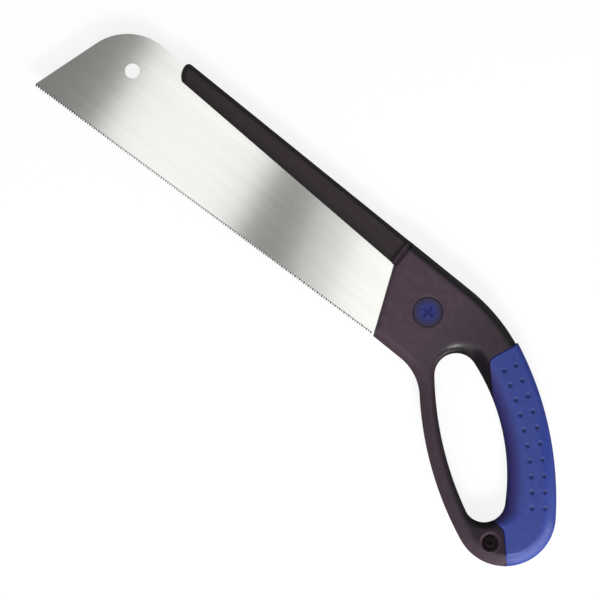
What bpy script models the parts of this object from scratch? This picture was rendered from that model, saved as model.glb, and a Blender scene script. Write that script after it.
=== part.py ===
"""Pull saw with a tapered blade, a stiffening spine and a closed two-part handle with soft grips.

The saw lies on its right side. +X runs along the spine from the toe to the handle, +Y from the teeth to
the spine and +Z out of the left side. The origin is on the clamp screw's axis, on the right cheek's face.
"""

import math

import bmesh
import bpy
import numpy as np

# Clearances
GAP = 0.0003
CUT_MARGIN = 0.004
CHORD_TOLERANCE = 0.00005

# Handle, seen from the side
HANDLE_THICKNESS = 0.024
TOP_Y = 0.0285
BOTTOM_Y = -0.0343
FRONT_LOW_X = -0.0174
FRONT_HIGH_X = -0.0361
COLLAR_LENGTH = 0.0040
COLLAR_PROUD = 0.0020
COLLAR_FOOT = 0.0008
TOP_ARC_X = 0.0130
TOP_ARC_RADIUS = 0.120
END_X = 0.1224
END_Y = -0.0711
END_RADIUS = 0.0329
BACK_RADIUS = 0.219
GUARD_RADIUS = 0.222
GUARD_START_X = 0.0300
GUARD_START_Y = -0.0449
GUARD_FILLET = 0.033

# Hand opening; its low end is set back and down from the handle's end
LOOP_FRONT_X = 0.0404
LOOP_FRONT_Y = -0.0202
LOOP_FRONT_RADIUS = 0.01425
LOOP_LOW_BACK = 0.0159
LOOP_LOW_DROP = 0.0015
LOOP_LOW_RADIUS = 0.0136
LOOP_BACK_RADIUS = 0.135
LOOP_GUARD_RADIUS = 0.217

# Rounding of the handle's edges: reach inwards and fall from the cheek
EDGE_ROUND = 0.0045
FRONT_ROUND_REACH = 0.0035
FRONT_ROUND_FALL = 0.0020
PALM_ROUND_REACH = 0.0090
PALM_ROUND_FALL = 0.0070
ROUND_STEPS = 4

# Soft grip
SOFT_THICKNESS = 0.0024
GRIP_STEP_X = 0.0584
GRIP_PROUD = 0.0015
GRIP_CORNER_FORE = 0.0081
GRIP_CORNER_DROP = 0.0197
GRIP_CORNER_RADIUS = 0.005
GRIP_TONGUE_SLOPE = -45.0
GRIP_FOOT_BACK = 0.0133
GRIP_FOOT_DROP = 0.0168
GRIP_FOOT_SLOPE = -46.0
DIMPLE_ROWS = (0.0076, 0.0160)
DIMPLES_PER_ROW = 10
DIMPLE_PITCH = 0.0110
DIMPLE_START = 0.0124
DIMPLE_DIAMETER = 0.0024
DIMPLE_DEPTH = 0.0009
DIMPLE_SIDES = 8

# Cored-out pockets in the rear arm
CORE_WALL = 0.0030
CORE_POCKETS = 3
CORE_RIB = 0.0030
CORE_START = 0.016
CORE_LENGTH = 0.078

# Blade
BLADE_THICKNESS = 0.00085
TOE_X = -0.2911
TOE_Y = -0.0463
TOE_LEAN = 16.7
TOE_ARC_RADIUS = 0.036
TANG_REAR_X = 0.0140
TANG_BOTTOM_WALL = 0.0043
TANG_TOP_DROP = 0.0009
TOOTH_PITCH = 0.0018
TOOTH_HEIGHT = 0.0016
TOOTH_LEAN = 0.70
TOOTH_BEVEL = 0.00045
TOOTH_SET = 0.00012
HANG_HOLE_DIAMETER = 0.0098
HANG_HOLE_FROM_TOE = 0.0436
HANG_HOLE_FROM_BACK = 0.0247

# Spine
SPINE_THICKNESS = 0.0096
SPINE_LENGTH = 0.1869
SPINE_TIP_DEPTH = 0.0124
SPINE_ROOT_DEPTH = 0.0181
SPINE_ROOF = 0.0025
SPINE_NOSE_RADIUS = 0.011
SPINE_CORNER_RADIUS = 0.0032
SPINE_ROUND = 0.0028
SPINE_LIP_ROUND = 0.0010
SHOULDER_SET = 0.0020
TENON_LENGTH = 0.026
TENON_THICKNESS = 0.0070
TENON_SHOULDER = 0.0035
PIN_DIAMETER = 0.0040
PIN_LENGTH = 0.0160

# Clamp screw
HEAD_DIAMETER = 0.0194
HEAD_THICKNESS = 0.0032
HEAD_RECESS = 0.0004
HEAD_ROUND = 0.0007
CROSS_LENGTH = 0.0100
CROSS_WIDTH = 0.0018
CROSS_DEPTH = 0.0013
WASHER_INSET = 0.0007
WASHER_THICKNESS = 0.0010
STUD_DIAMETER = 0.0060
STUD_IN_HEAD = 0.0014
INSERT_DIAMETER = 0.0100
INSERT_LENGTH = 0.0068
STUD_END_COVER = 0.0012

# Screw at the foot of the handle, placed from the handle's end
SCREW_BACK = 0.0029
SCREW_DROP = 0.0196
SCREW_HEAD_DIAMETER = 0.0086
SCREW_HEAD_THICKNESS = 0.0026
SCREW_HEAD_CLEARANCE = 0.0007
SCREW_RECESS = 0.0036
SCREW_SHANK_DIAMETER = 0.0040
SCREW_BITE = 0.0070
SCREW_SOCKET = 0.0040
SCREW_SOCKET_DEPTH = 0.0016
SCREW_SOCKET_SIDES = 6

ROUND_SIDES = 32
PIN_SIDES = 20
MIDDLE = HANDLE_THICKNESS / 2
HALF_PARTING = GAP / 2
LEFT, RIGHT = 1, -1


# Plane geometry

def turned_left(vector):
    """The vector turned a quarter turn anticlockwise."""
    return np.stack([-vector[..., 1], vector[..., 0]], axis=-1)


def heading(vector):
    """Direction of a plane vector in degrees, from 0 to 360."""
    return math.degrees(math.atan2(vector[1], vector[0])) % 360


def circles_meet(first, first_radius, second, second_radius, side):
    """The crossing of two circles that lies left (+1) or right (-1) of the line between their centres."""
    between = second - first
    distance = np.linalg.norm(between)
    along = (first_radius**2 - second_radius**2 + distance**2) / (2 * distance)
    across = math.sqrt(max(first_radius**2 - along**2, 0.0))
    direction = between / distance
    return first + direction * along + side * across * turned_left(direction)


def arc(centre, radius, start, end):
    """Points of an arc from one heading to another, spaced so that no chord leaves it by the tolerance."""
    step = 2 * math.degrees(math.acos(1 - CHORD_TOLERANCE / radius))
    count = max(int(math.ceil(abs(end - start) / step)), 2)
    turn = np.radians(np.linspace(start, end, count + 1))
    return centre + radius * np.stack([np.cos(turn), np.sin(turn)], axis=-1)


def mitres(outline):
    """For each corner of an anticlockwise outline, the move that shifts both its sides inwards by one."""
    edges = np.roll(outline, -1, axis=0) - outline
    normals = turned_left(edges / np.linalg.norm(edges, axis=1, keepdims=True))
    before = np.roll(normals, 1, axis=0)
    return (normals + before) / (1 + np.sum(normals * before, axis=1, keepdims=True))


def inset(outline, amount):
    """The outline with its sides moved inwards by an amount, one for all corners or one each."""
    return outline + mitres(outline) * np.reshape(np.broadcast_to(amount, len(outline)), (-1, 1))


def box_outline(low, high):
    return np.array([low, (high[0], low[1]), high, (low[0], high[1])])


def circle_outline(centre, diameter, sides):
    turn = np.linspace(0, 2 * math.pi, sides, endpoint=False)
    return np.asarray(centre) + diameter / 2 * np.stack([np.cos(turn), np.sin(turn)], axis=-1)


# Handle outline

CLAMP_AXIS = np.zeros(2)
END = np.array([END_X, END_Y])
TOP_ARC = np.array([TOP_ARC_X, TOP_Y - TOP_ARC_RADIUS])
GRIP_STEP_Y = TOP_ARC[1] + math.sqrt(TOP_ARC_RADIUS**2 - (GRIP_STEP_X - TOP_ARC_X) ** 2) + GRIP_PROUD
GRIP_STEP = np.array([GRIP_STEP_X, GRIP_STEP_Y])
GUARD_START = np.array([GUARD_START_X, GUARD_START_Y])
BACK = circles_meet(END, BACK_RADIUS - END_RADIUS, GRIP_STEP, BACK_RADIUS, 1)
GUARD = circles_meet(END, GUARD_RADIUS - END_RADIUS, GUARD_START, GUARD_RADIUS, -1)
LOOP_FRONT = np.array([LOOP_FRONT_X, LOOP_FRONT_Y])
LOOP_LOW = END - np.array([LOOP_LOW_BACK, LOOP_LOW_DROP])
LOOP_BACK = circles_meet(
    LOOP_FRONT, LOOP_BACK_RADIUS - LOOP_FRONT_RADIUS, LOOP_LOW, LOOP_BACK_RADIUS - LOOP_LOW_RADIUS, -1
)
LOOP_GUARD = circles_meet(
    LOOP_FRONT, LOOP_GUARD_RADIUS - LOOP_FRONT_RADIUS, LOOP_LOW, LOOP_GUARD_RADIUS - LOOP_LOW_RADIUS, 1
)
SPINE_TIP_X = FRONT_HIGH_X - SPINE_LENGTH
SPINE_TIP_Y = TOP_Y - SPINE_TIP_DEPTH
SPINE_ROOT_Y = TOP_Y - SPINE_ROOT_DEPTH
BACK_Y = TOP_Y - SPINE_ROOF


def heading_at(centre, radius, x):
    """Heading of the upper point of a circle at a given x."""
    return math.degrees(math.acos((x - centre[0]) / radius))


def spine_lower_edge(x):
    """Height of the spine's lower edge, straight from its root to its tip."""
    share = (x - FRONT_HIGH_X) / (SPINE_TIP_X - FRONT_HIGH_X)
    return SPINE_ROOT_Y + share * (SPINE_TIP_Y - SPINE_ROOT_Y)


def handle_lower_run():
    """The handle's edge from the front corner along the guard and round the end, anticlockwise."""
    fillet_y = BOTTOM_Y - GUARD_FILLET
    reach = GUARD_RADIUS + GUARD_FILLET
    fillet = np.array([GUARD[0] - math.sqrt(reach**2 - (GUARD[1] - fillet_y) ** 2), fillet_y])
    leaves = heading(GUARD - fillet)
    return np.vstack([
        [(FRONT_LOW_X, BOTTOM_Y)],
        arc(fillet, GUARD_FILLET, 90, leaves),
        arc(GUARD, GUARD_RADIUS, leaves + 180, heading(END - GUARD))[1:],
        arc(END, END_RADIUS, heading(END - GUARD), heading(END - BACK) + 360)[1:],
    ])


def casing_outline():
    """Outline of a casing half with the reach, fall and hollow of its edge rounding at each corner.

    It passes from the back's arc to the top's arc under the grip, ahead of the first core pocket.
    """
    leaves_back = heading_at(BACK, BACK_RADIUS, GRIP_STEP_X + CORE_START)
    smooth = np.vstack([
        handle_lower_run(),
        arc(BACK, BACK_RADIUS, heading(END - BACK), leaves_back)[1:],
        arc(TOP_ARC, TOP_ARC_RADIUS, heading_at(TOP_ARC, TOP_ARC_RADIUS, GRIP_STEP_X + GAP), 90),
    ])
    collar_x = FRONT_HIGH_X - COLLAR_PROUD
    front = np.array([
        (collar_x, TOP_Y), (collar_x, spine_lower_edge(collar_x)),
        (FRONT_HIGH_X, spine_lower_edge(FRONT_HIGH_X)),
    ])
    collar_fall = (HANDLE_THICKNESS - SPINE_THICKNESS) / 2 - GAP - COLLAR_FOOT
    even = np.full(len(smooth) - 1, EDGE_ROUND)
    reach = np.hstack([FRONT_ROUND_REACH, even, COLLAR_LENGTH, COLLAR_LENGTH, FRONT_ROUND_REACH])
    fall = np.hstack([FRONT_ROUND_FALL, even, collar_fall, collar_fall, FRONT_ROUND_FALL])
    hollow = np.hstack([np.zeros(len(smooth)), 1, 1, 0])
    return np.vstack([smooth, front]), reach, fall, hollow


def grip_outline():
    """Outline that the grips' outer surface follows: the back's arc runs on up to the top edge."""
    at_top = math.degrees(math.asin((TOP_Y - BACK[1]) / BACK_RADIUS))
    points = np.vstack([
        handle_lower_run(),
        arc(BACK, BACK_RADIUS, heading(END - BACK), at_top)[1:],
        [(FRONT_LOW_X, TOP_Y)],
    ])
    rounding = np.full(len(points), EDGE_ROUND)
    return points, rounding, rounding, np.zeros(len(points))


def loop_outline():
    """The hand opening, an oval of four arcs, with the reach and fall of its edge rounding."""
    runs = (
        (LOOP_BACK, LOOP_BACK_RADIUS, heading(LOOP_LOW - LOOP_BACK), heading(LOOP_FRONT - LOOP_BACK)),
        (LOOP_FRONT, LOOP_FRONT_RADIUS, heading(LOOP_FRONT - LOOP_BACK), heading(LOOP_FRONT - LOOP_GUARD)),
        (LOOP_GUARD, LOOP_GUARD_RADIUS, heading(LOOP_FRONT - LOOP_GUARD), heading(LOOP_LOW - LOOP_GUARD)),
        (LOOP_LOW, LOOP_LOW_RADIUS, heading(LOOP_LOW - LOOP_GUARD), heading(LOOP_LOW - LOOP_BACK) + 360),
    )
    palm_start, palm_end = (1, 1, 0, 0), (1, 0, 0, 1)
    points, palm = [], []
    for run, start, end in zip(runs, palm_start, palm_end):
        along = arc(*run)[:-1]
        share = np.linspace(0, 1, len(along), endpoint=False)
        points.append(along)
        palm.append(start + (end - start) * share * share * (3 - 2 * share))
    palm = np.concatenate(palm)
    reach = EDGE_ROUND + palm * (PALM_ROUND_REACH - EDGE_ROUND)
    fall = EDGE_ROUND + palm * (PALM_ROUND_FALL - EDGE_ROUND)
    return np.vstack(points), reach, fall


def ray_meets_circle(start, ray, centre, radius, far):
    """The far (+1) or near (-1) crossing of a ray with a circle."""
    ray = ray / np.linalg.norm(ray)
    nearest = start + ray * np.dot(centre - start, ray)
    return nearest + far * ray * math.sqrt(radius**2 - np.sum((centre - nearest) ** 2))


def direction(degrees):
    return np.array([math.cos(math.radians(degrees)), math.sin(math.radians(degrees))])


def grip_zone(spread):
    """Plan of the area the grip covers, moved outwards by a clearance.

    Its upper end is a rounded corner between a line from the handle's back and one along the tongue of the
    casing at the opening's edge; its lower end is a straight line across the foot of the handle.
    """
    corner = GRIP_STEP - np.array([GRIP_CORNER_FORE, GRIP_CORNER_DROP])
    up = (GRIP_STEP - corner) / np.linalg.norm(GRIP_STEP - corner)
    down = direction(GRIP_TONGUE_SLOPE)
    half_turn = math.acos(np.dot(up, down)) / 2
    middle = corner + (up + down) / np.linalg.norm(up + down) * GRIP_CORNER_RADIUS / math.sin(half_turn)
    opened = math.degrees(math.pi / 2 - half_turn)
    facing = heading(corner - middle)
    tongue = ray_meets_circle(corner, down, LOOP_BACK, LOOP_BACK_RADIUS, -1) + down * EDGE_ROUND
    foot = END + np.array([GRIP_FOOT_BACK, -GRIP_FOOT_DROP])
    slope = direction(GRIP_FOOT_SLOPE)
    outside = foot + slope * END_RADIUS
    beyond = END_X + END_RADIUS + CUT_MARGIN
    points = np.vstack([
        [GRIP_STEP + up * END_RADIUS],
        arc(middle, GRIP_CORNER_RADIUS, facing - opened, facing + opened),
        [tongue, (LOOP_FRONT + LOOP_LOW) / 2, foot + slope * np.dot(LOOP_LOW - foot, slope), outside],
        [(beyond, outside[1]), (beyond, GRIP_STEP_Y + END_RADIUS)],
    ])
    return inset(points, -spread)


# Blender objects

def new_material(name, colour, roughness, metallic):
    """A Principled material from an sRGB colour."""
    material = bpy.data.materials.new(name)
    material.use_nodes = True
    shader = material.node_tree.nodes["Principled BSDF"]
    linear = [(c / 255 / 12.92) if c <= 10 else ((c / 255 + 0.055) / 1.055) ** 2.4 for c in colour]
    shader.inputs["Base Color"].default_value = (*linear, 1.0)
    shader.inputs["Roughness"].default_value = roughness
    shader.inputs["Metallic"].default_value = metallic
    return material


def finish(mesh, name, material=None, parent=None):
    """Object from a bmesh with its faces turned outwards; without a material it is a hidden cutter."""
    bmesh.ops.recalc_face_normals(mesh, faces=mesh.faces)
    data = bpy.data.meshes.new(name)
    mesh.to_mesh(data)
    mesh.free()
    obj = bpy.data.objects.new(name, data)
    bpy.context.scene.collection.objects.link(obj)
    obj.parent = parent
    if material:
        data.materials.append(material)
    else:
        obj.hide_render = True
        obj.display_type = "WIRE"
    return obj


def loft(name, rings, material=None, parent=None):
    """Closed solid through rings of equally many points, capped at both ends."""
    mesh = bmesh.new()
    loops = [[mesh.verts.new(point) for point in ring] for ring in rings]
    for lower, upper in zip(loops, loops[1:]):
        for i in range(len(lower)):
            j = (i + 1) % len(lower)
            mesh.faces.new((lower[i], lower[j], upper[j], upper[i]))
    mesh.faces.new(loops[0][::-1])
    mesh.faces.new(loops[-1])
    return finish(mesh, name, material, parent)


def at_height(outline, height):
    return np.column_stack([outline, np.broadcast_to(height, len(outline))])


def prism(name, outline, low, high, material=None, parent=None):
    return loft(name, [at_height(outline, low), at_height(outline, high)], material, parent)


def rounded_half(name, shape, side, floor, cover, material=None, parent=None):
    """Half of the handle's slab, from a floor above its middle plane up to an outer edge that is rounded.

    The cover is what is left off all round and under the cheek.
    """
    outline, reach, fall, hollow = shape
    outline = inset(outline, cover)
    top = MIDDLE - cover
    rings = [at_height(outline, MIDDLE + side * floor)]
    for turn in np.linspace(0, math.pi / 2, ROUND_STEPS + 1):
        inwards = np.where(hollow > 0, math.sin(turn), 1 - math.cos(turn))
        upwards = np.where(hollow > 0, 1 - math.cos(turn), math.sin(turn))
        rings.append(at_height(inset(outline, reach * inwards), MIDDLE + side * (top - fall * (1 - upwards))))
    return loft(name, rings, material, parent)


def loop_cutter(name, side, cover):
    """Cutter for one half of the hand opening, flared to round the opening's edge, wider by the cover."""
    outline, reach, fall = loop_outline()
    outline = inset(outline, -cover)
    top = MIDDLE - cover
    rings = [at_height(outline, MIDDLE - side * CUT_MARGIN)]
    for turn in np.linspace(0, math.pi / 2, ROUND_STEPS + 1):
        flared = inset(outline, -reach * (1 - math.cos(turn)))
        rings.append(at_height(flared, MIDDLE + side * (top - fall * (1 - math.sin(turn)))))
    rings.append(rings[-1] + (0, 0, side * CUT_MARGIN))
    return loft(name, rings)


def boolean(obj, other, operation="DIFFERENCE"):
    """Adds a live Boolean with another object."""
    modifier = obj.modifiers.new(other.name, "BOOLEAN")
    modifier.operation = operation
    modifier.solver = "EXACT"
    modifier.object = other
    return obj


def drum(name, centre, diameter, low, high, sides=ROUND_SIDES, material=None, parent=None):
    return prism(name, circle_outline(centre, diameter, sides), low, high, material, parent)


# Handle

STUD_HOLE_DIAMETER = STUD_DIAMETER + 2 * GAP
PIN_HOLE_DIAMETER = PIN_DIAMETER + 2 * GAP
SHANK_HOLE_DIAMETER = SCREW_SHANK_DIAMETER + 2 * GAP
HEAD_TOP = HANDLE_THICKNESS - HEAD_RECESS
HEAD_BOTTOM = HEAD_TOP - HEAD_THICKNESS
WASHER_TOP = HEAD_BOTTOM - GAP
WASHER_BOTTOM = WASHER_TOP - WASHER_THICKNESS
HEAD_SEAT = WASHER_BOTTOM - GAP
SLOT_HALF = BLADE_THICKNESS / 2 + GAP
INSERT_TOP = MIDDLE - SLOT_HALF - GAP
INSERT_BOTTOM = INSERT_TOP - INSERT_LENGTH
SCREW = END + np.array([SCREW_BACK, -SCREW_DROP])
SCREW_HEAD_TOP = HANDLE_THICKNESS - SCREW_RECESS
SCREW_HEAD_BOTTOM = SCREW_HEAD_TOP - SCREW_HEAD_THICKNESS
SCREW_END = MIDDLE - SCREW_BITE
TANG_LOW_Y = BOTTOM_Y + TANG_BOTTOM_WALL
TANG_TOP_Y = SPINE_ROOT_Y - TANG_TOP_DROP
SPINE_SHOULDER_X = FRONT_HIGH_X + SHOULDER_SET
TENON_END_X = SPINE_SHOULDER_X + TENON_LENGTH
TENON_LOW_Y = SPINE_ROOT_Y + TENON_SHOULDER
TENON_TOP_Y = TOP_Y - TENON_SHOULDER
STOP_X = TANG_REAR_X + GAP + PIN_DIAMETER / 2
PINS = {
    "spine_pin": ((SPINE_SHOULDER_X + TENON_END_X) / 2, (TENON_LOW_Y + TENON_TOP_Y) / 2),
    "stop_pin_upper": (STOP_X, (TANG_TOP_Y + STUD_HOLE_DIAMETER / 2) / 2),
    "stop_pin_lower": (STOP_X, (TANG_LOW_Y - STUD_HOLE_DIAMETER / 2) / 2),
}


def core_pocket(side, index):
    """Cored-out room in the rear arm between two ribs, under the grip."""
    inwards = SOFT_THICKNESS + CORE_WALL
    outer, inner = BACK_RADIUS - inwards, LOOP_BACK_RADIUS + inwards
    first = heading_at(BACK, BACK_RADIUS, GRIP_STEP_X) - math.degrees(CORE_START / BACK_RADIUS)
    span = math.degrees(CORE_LENGTH / CORE_POCKETS / BACK_RADIUS)
    rib = math.degrees(CORE_RIB / BACK_RADIUS)
    start, end = first - index * span, first - (index + 1) * span + rib
    outside = arc(BACK, outer, end, start)
    ends = [ray_meets_circle(BACK, point - BACK, LOOP_BACK, inner, 1) for point in outside[[-1, 0]]]
    inside = arc(LOOP_BACK, inner, *(heading(point - LOOP_BACK) for point in ends))
    low, high = sorted((MIDDLE - side * CUT_MARGIN, MIDDLE + side * (MIDDLE - inwards)))
    return prism(f"core_pocket_{side}_{index}", np.vstack([outside, inside]), low, high)


def handle_cutters():
    """Cutters that both casing halves share, each crossing the parting plane."""
    seat_x = FRONT_HIGH_X - COLLAR_PROUD - CUT_MARGIN
    shoulder = SPINE_SHOULDER_X + GAP
    tang = np.array([
        (seat_x, TANG_LOW_Y - GAP), (TANG_REAR_X + GAP, TANG_LOW_Y - GAP),
        (TANG_REAR_X + GAP, TANG_TOP_Y + GAP), (shoulder, TANG_TOP_Y + GAP),
        (shoulder, BACK_Y), (seat_x, BACK_Y),
    ])
    seat = np.array([
        (seat_x, spine_lower_edge(seat_x) - GAP), (shoulder, spine_lower_edge(shoulder) - GAP),
        (shoulder, TOP_Y + CUT_MARGIN), (seat_x, TOP_Y + CUT_MARGIN),
    ])
    tenon = box_outline((seat_x, TENON_LOW_Y - GAP), (TENON_END_X + GAP, TENON_TOP_Y + GAP))
    spine_half, tenon_half = SPINE_THICKNESS / 2 + GAP, TENON_THICKNESS / 2 + GAP
    pin_half = PIN_LENGTH / 2 + GAP
    cutters = [
        prism("tang_slot", tang, MIDDLE - SLOT_HALF, MIDDLE + SLOT_HALF),
        prism("spine_seat", seat, MIDDLE - spine_half, MIDDLE + spine_half),
        prism("tenon_socket", tenon, MIDDLE - tenon_half, MIDDLE + tenon_half),
    ]
    for name, place in PINS.items():
        cutters.append(
            drum(name + "_hole", place, PIN_HOLE_DIAMETER, MIDDLE - pin_half, MIDDLE + pin_half, PIN_SIDES)
        )
    return cutters


def arm_core(name, side, cover):
    """What a soft layer of the given cover leaves of one half, run past the parting plane as a cutter."""
    core = rounded_half(name, grip_outline(), side, -CUT_MARGIN / 2, cover)
    return boolean(core, loop_cutter(name + "_loop", side, cover))


def make_casing(name, side, shared, material, parent):
    """One half shell of the handle, cut for the grip, the spine, the blade and the fasteners."""
    shape = casing_outline()
    casing = rounded_half(name, shape, side, HALF_PARTING, 0.0, material, parent)
    boolean(casing, loop_cutter(name + "_loop", side, 0.0))
    room = prism(name + "_grip_room", grip_zone(GAP), -CUT_MARGIN, HANDLE_THICKNESS + CUT_MARGIN)
    boolean(room, arm_core(name + "_core", side, SOFT_THICKNESS))
    boolean(casing, room)
    for cutter in shared:
        boolean(casing, cutter)
    for index in range(CORE_POCKETS):
        boolean(casing, core_pocket(side, index))
    return casing


def make_left_holes(casing):
    """Seats of the clamp head and of the handle screw, both entered from the left cheek."""
    above = HANDLE_THICKNESS + CUT_MARGIN
    below = MIDDLE - CUT_MARGIN
    boolean(casing, drum("head_seat", CLAMP_AXIS, HEAD_DIAMETER + 2 * GAP, HEAD_SEAT, above))
    boolean(casing, drum("stud_hole", CLAMP_AXIS, STUD_HOLE_DIAMETER, below, above, PIN_SIDES))
    recess = SCREW_HEAD_DIAMETER + 2 * SCREW_HEAD_CLEARANCE
    boolean(casing, drum("screw_seat", SCREW, recess, SCREW_HEAD_BOTTOM - GAP, above))
    boolean(casing, drum("shank_hole", SCREW, SHANK_HOLE_DIAMETER, below, above, PIN_SIDES))


def make_right_holes(casing):
    """Pocket of the clamp insert and pilot hole of the handle screw, both closed towards the right cheek."""
    above = MIDDLE + CUT_MARGIN
    boolean(casing, drum("insert_pocket", CLAMP_AXIS, INSERT_DIAMETER + 2 * GAP, INSERT_BOTTOM - GAP, above))
    boolean(casing, drum("pilot_hole", SCREW, SHANK_HOLE_DIAMETER, SCREW_END - GAP, above, PIN_SIDES))


def dimple_cutter(name, side):
    """All dimples of one grip, cones on two arcs that follow the handle's back, joined in one cutter."""
    mesh = bmesh.new()
    start = heading_at(BACK, BACK_RADIUS, GRIP_STEP_X)
    for row in DIMPLE_ROWS:
        for index in range(DIMPLES_PER_ROW):
            turn = start - math.degrees((DIMPLE_START + index * DIMPLE_PITCH) / BACK_RADIUS)
            place = BACK + (BACK_RADIUS - row) * direction(turn)
            cone = bmesh.ops.create_cone(
                mesh, cap_ends=True, segments=DIMPLE_SIDES, radius1=DIMPLE_DIAMETER / 4,
                radius2=3 * DIMPLE_DIAMETER / 4, depth=2 * DIMPLE_DEPTH,
            )
            for vert in cone["verts"]:
                vert.co.z = MIDDLE + side * (MIDDLE + vert.co.z)
                vert.co.x += place[0]
                vert.co.y += place[1]
    return finish(mesh, name)


def make_grip(name, side, material, parent):
    """Soft layer over the rear arm of one half, from parting line to parting line, with its dimples."""
    grip = rounded_half(name, grip_outline(), side, HALF_PARTING, 0.0, material, parent)
    boolean(grip, loop_cutter(name + "_loop", side, 0.0))
    zone = prism(name + "_zone", grip_zone(0.0), -CUT_MARGIN, HANDLE_THICKNESS + CUT_MARGIN)
    boolean(grip, zone, "INTERSECT")
    boolean(grip, arm_core(name + "_core", side, SOFT_THICKNESS - GAP))
    boolean(grip, dimple_cutter(name + "_dimples", side))
    return grip


# Blade

def heel_point():
    """Heel end of the teeth, just in front of the casing at the height where the tang enters it."""
    slope = (FRONT_HIGH_X - FRONT_LOW_X) / (SPINE_ROOT_Y - BOTTOM_Y)
    return np.array([FRONT_LOW_X + TANG_BOTTOM_WALL * slope - GAP, BOTTOM_Y])


def blade_outline():
    """Blade without teeth, anticlockwise from the heel round the tang and along the back to the toe."""
    slot = STUD_HOLE_DIAMETER / 2
    shoulder_x = SPINE_SHOULDER_X - GAP
    facing = 180 - TOE_LEAN
    arc_y = BACK_Y - TOE_ARC_RADIUS
    toe_edge_x = TOE_X + (arc_y - TOE_Y) * math.tan(math.radians(TOE_LEAN))
    arc_centre = np.array([toe_edge_x - TOE_ARC_RADIUS / direction(facing)[0], arc_y])
    return np.vstack([
        [(heel_point()[0], TANG_LOW_Y), (TANG_REAR_X, TANG_LOW_Y), (TANG_REAR_X, -slot)],
        arc(CLAMP_AXIS, slot, 270, 90),
        [(TANG_REAR_X, slot), (TANG_REAR_X, TANG_TOP_Y)],
        [(shoulder_x, TANG_TOP_Y), (shoulder_x, BACK_Y)],
        arc(arc_centre, TOE_ARC_RADIUS, 90, facing),
    ])


def make_blade(material, parent):
    """Plate with leaning teeth, bevelled and set to alternate sides, so that they cut on the pull."""
    toe, heel = np.array([TOE_X, TOE_Y]), heel_point()
    line = (heel - toe) / np.linalg.norm(heel - toe)
    down = -turned_left(line)
    count = int(round(np.linalg.norm(heel - toe) / TOOTH_PITCH))
    roots = toe - down * TOOTH_HEIGHT + np.outer(np.linspace(0, 1, count + 1), heel - toe)
    mesh = bmesh.new()
    faces = (MIDDLE - BLADE_THICKNESS / 2, MIDDLE + BLADE_THICKNESS / 2)
    rim = blade_outline()
    right, left = ([mesh.verts.new((*p, z)) for p in np.vstack([roots, rim])] for z in faces)
    for i in range(count, len(right)):
        j = (i + 1) % len(right)
        mesh.faces.new((right[i], right[j], left[j], left[i]))
    mesh.faces.new(right[::-1])
    mesh.faces.new(left)
    for k in range(count):
        lean = 1 if k % 2 else -1
        tip = roots[k] + (roots[k + 1] - roots[k]) * TOOTH_LEAN
        drops = (TOOTH_HEIGHT - TOOTH_BEVEL * (lean > 0), TOOTH_HEIGHT - TOOTH_BEVEL * (lean < 0))
        ends = [mesh.verts.new((*(tip + down * d), z + lean * TOOTH_SET)) for d, z in zip(drops, faces)]
        mesh.faces.new((right[k], ends[0], right[k + 1]))
        mesh.faces.new((left[k + 1], ends[1], left[k]))
        mesh.faces.new((right[k], left[k], ends[1], ends[0]))
        mesh.faces.new((ends[0], ends[1], left[k + 1], right[k + 1]))
    blade = finish(mesh, "blade", material, parent)
    hole = np.array([TOE_X + HANG_HOLE_FROM_TOE, BACK_Y - HANG_HOLE_FROM_BACK])
    boolean(blade, drum("hang_hole", hole, HANG_HOLE_DIAMETER, faces[0] - GAP, faces[1] + GAP))
    return blade


# Spine

def make_spine(material, parent):
    """Moulded back with a groove for the blade, a rounded nose and a tenon that the handle holds."""
    corner = np.array([SPINE_TIP_X + SPINE_CORNER_RADIUS, TOP_Y - SPINE_CORNER_RADIUS])
    nose = np.array([SPINE_TIP_X + SPINE_NOSE_RADIUS, corner[1]])
    low_heading = 180 + math.degrees(math.asin((nose[1] - SPINE_TIP_Y) / SPINE_NOSE_RADIUS))
    outline = np.vstack([
        [(SPINE_SHOULDER_X, spine_lower_edge(SPINE_SHOULDER_X)), (SPINE_SHOULDER_X, TOP_Y)],
        arc(corner, SPINE_CORNER_RADIUS, 90, 180),
        arc(nose, SPINE_NOSE_RADIUS, 180, low_heading)[1:],
    ])
    reach = np.full(len(outline), SPINE_ROUND)
    reach[[0, -1]] = SPINE_LIP_ROUND
    half = SPINE_THICKNESS / 2
    rings = []
    for side in (-1, 1):
        turns = np.linspace(0, math.pi / 2, ROUND_STEPS)
        for turn in turns[::-1] if side < 0 else turns:
            level = MIDDLE + side * (half - reach * (1 - math.sin(turn)))
            rings.append(at_height(inset(outline, reach * (1 - math.cos(turn))), level))
    spine = loft("spine", rings, material, parent)
    tenon = box_outline((SPINE_SHOULDER_X - SPINE_ROUND, TENON_LOW_Y), (TENON_END_X, TENON_TOP_Y))
    tenon_half = TENON_THICKNESS / 2
    boolean(spine, prism("tenon", tenon, MIDDLE - tenon_half, MIDDLE + tenon_half), "UNION")
    groove = box_outline(
        (SPINE_TIP_X - CUT_MARGIN, SPINE_ROOT_Y - CUT_MARGIN), (SPINE_SHOULDER_X, BACK_Y + GAP)
    )
    boolean(spine, prism("groove", groove, MIDDLE - SLOT_HALF, MIDDLE + SLOT_HALF))
    boolean(spine, drum("tenon_hole", PINS["spine_pin"], PIN_HOLE_DIAMETER, 0, HANDLE_THICKNESS, PIN_SIDES))
    return spine


# Fasteners

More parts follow.
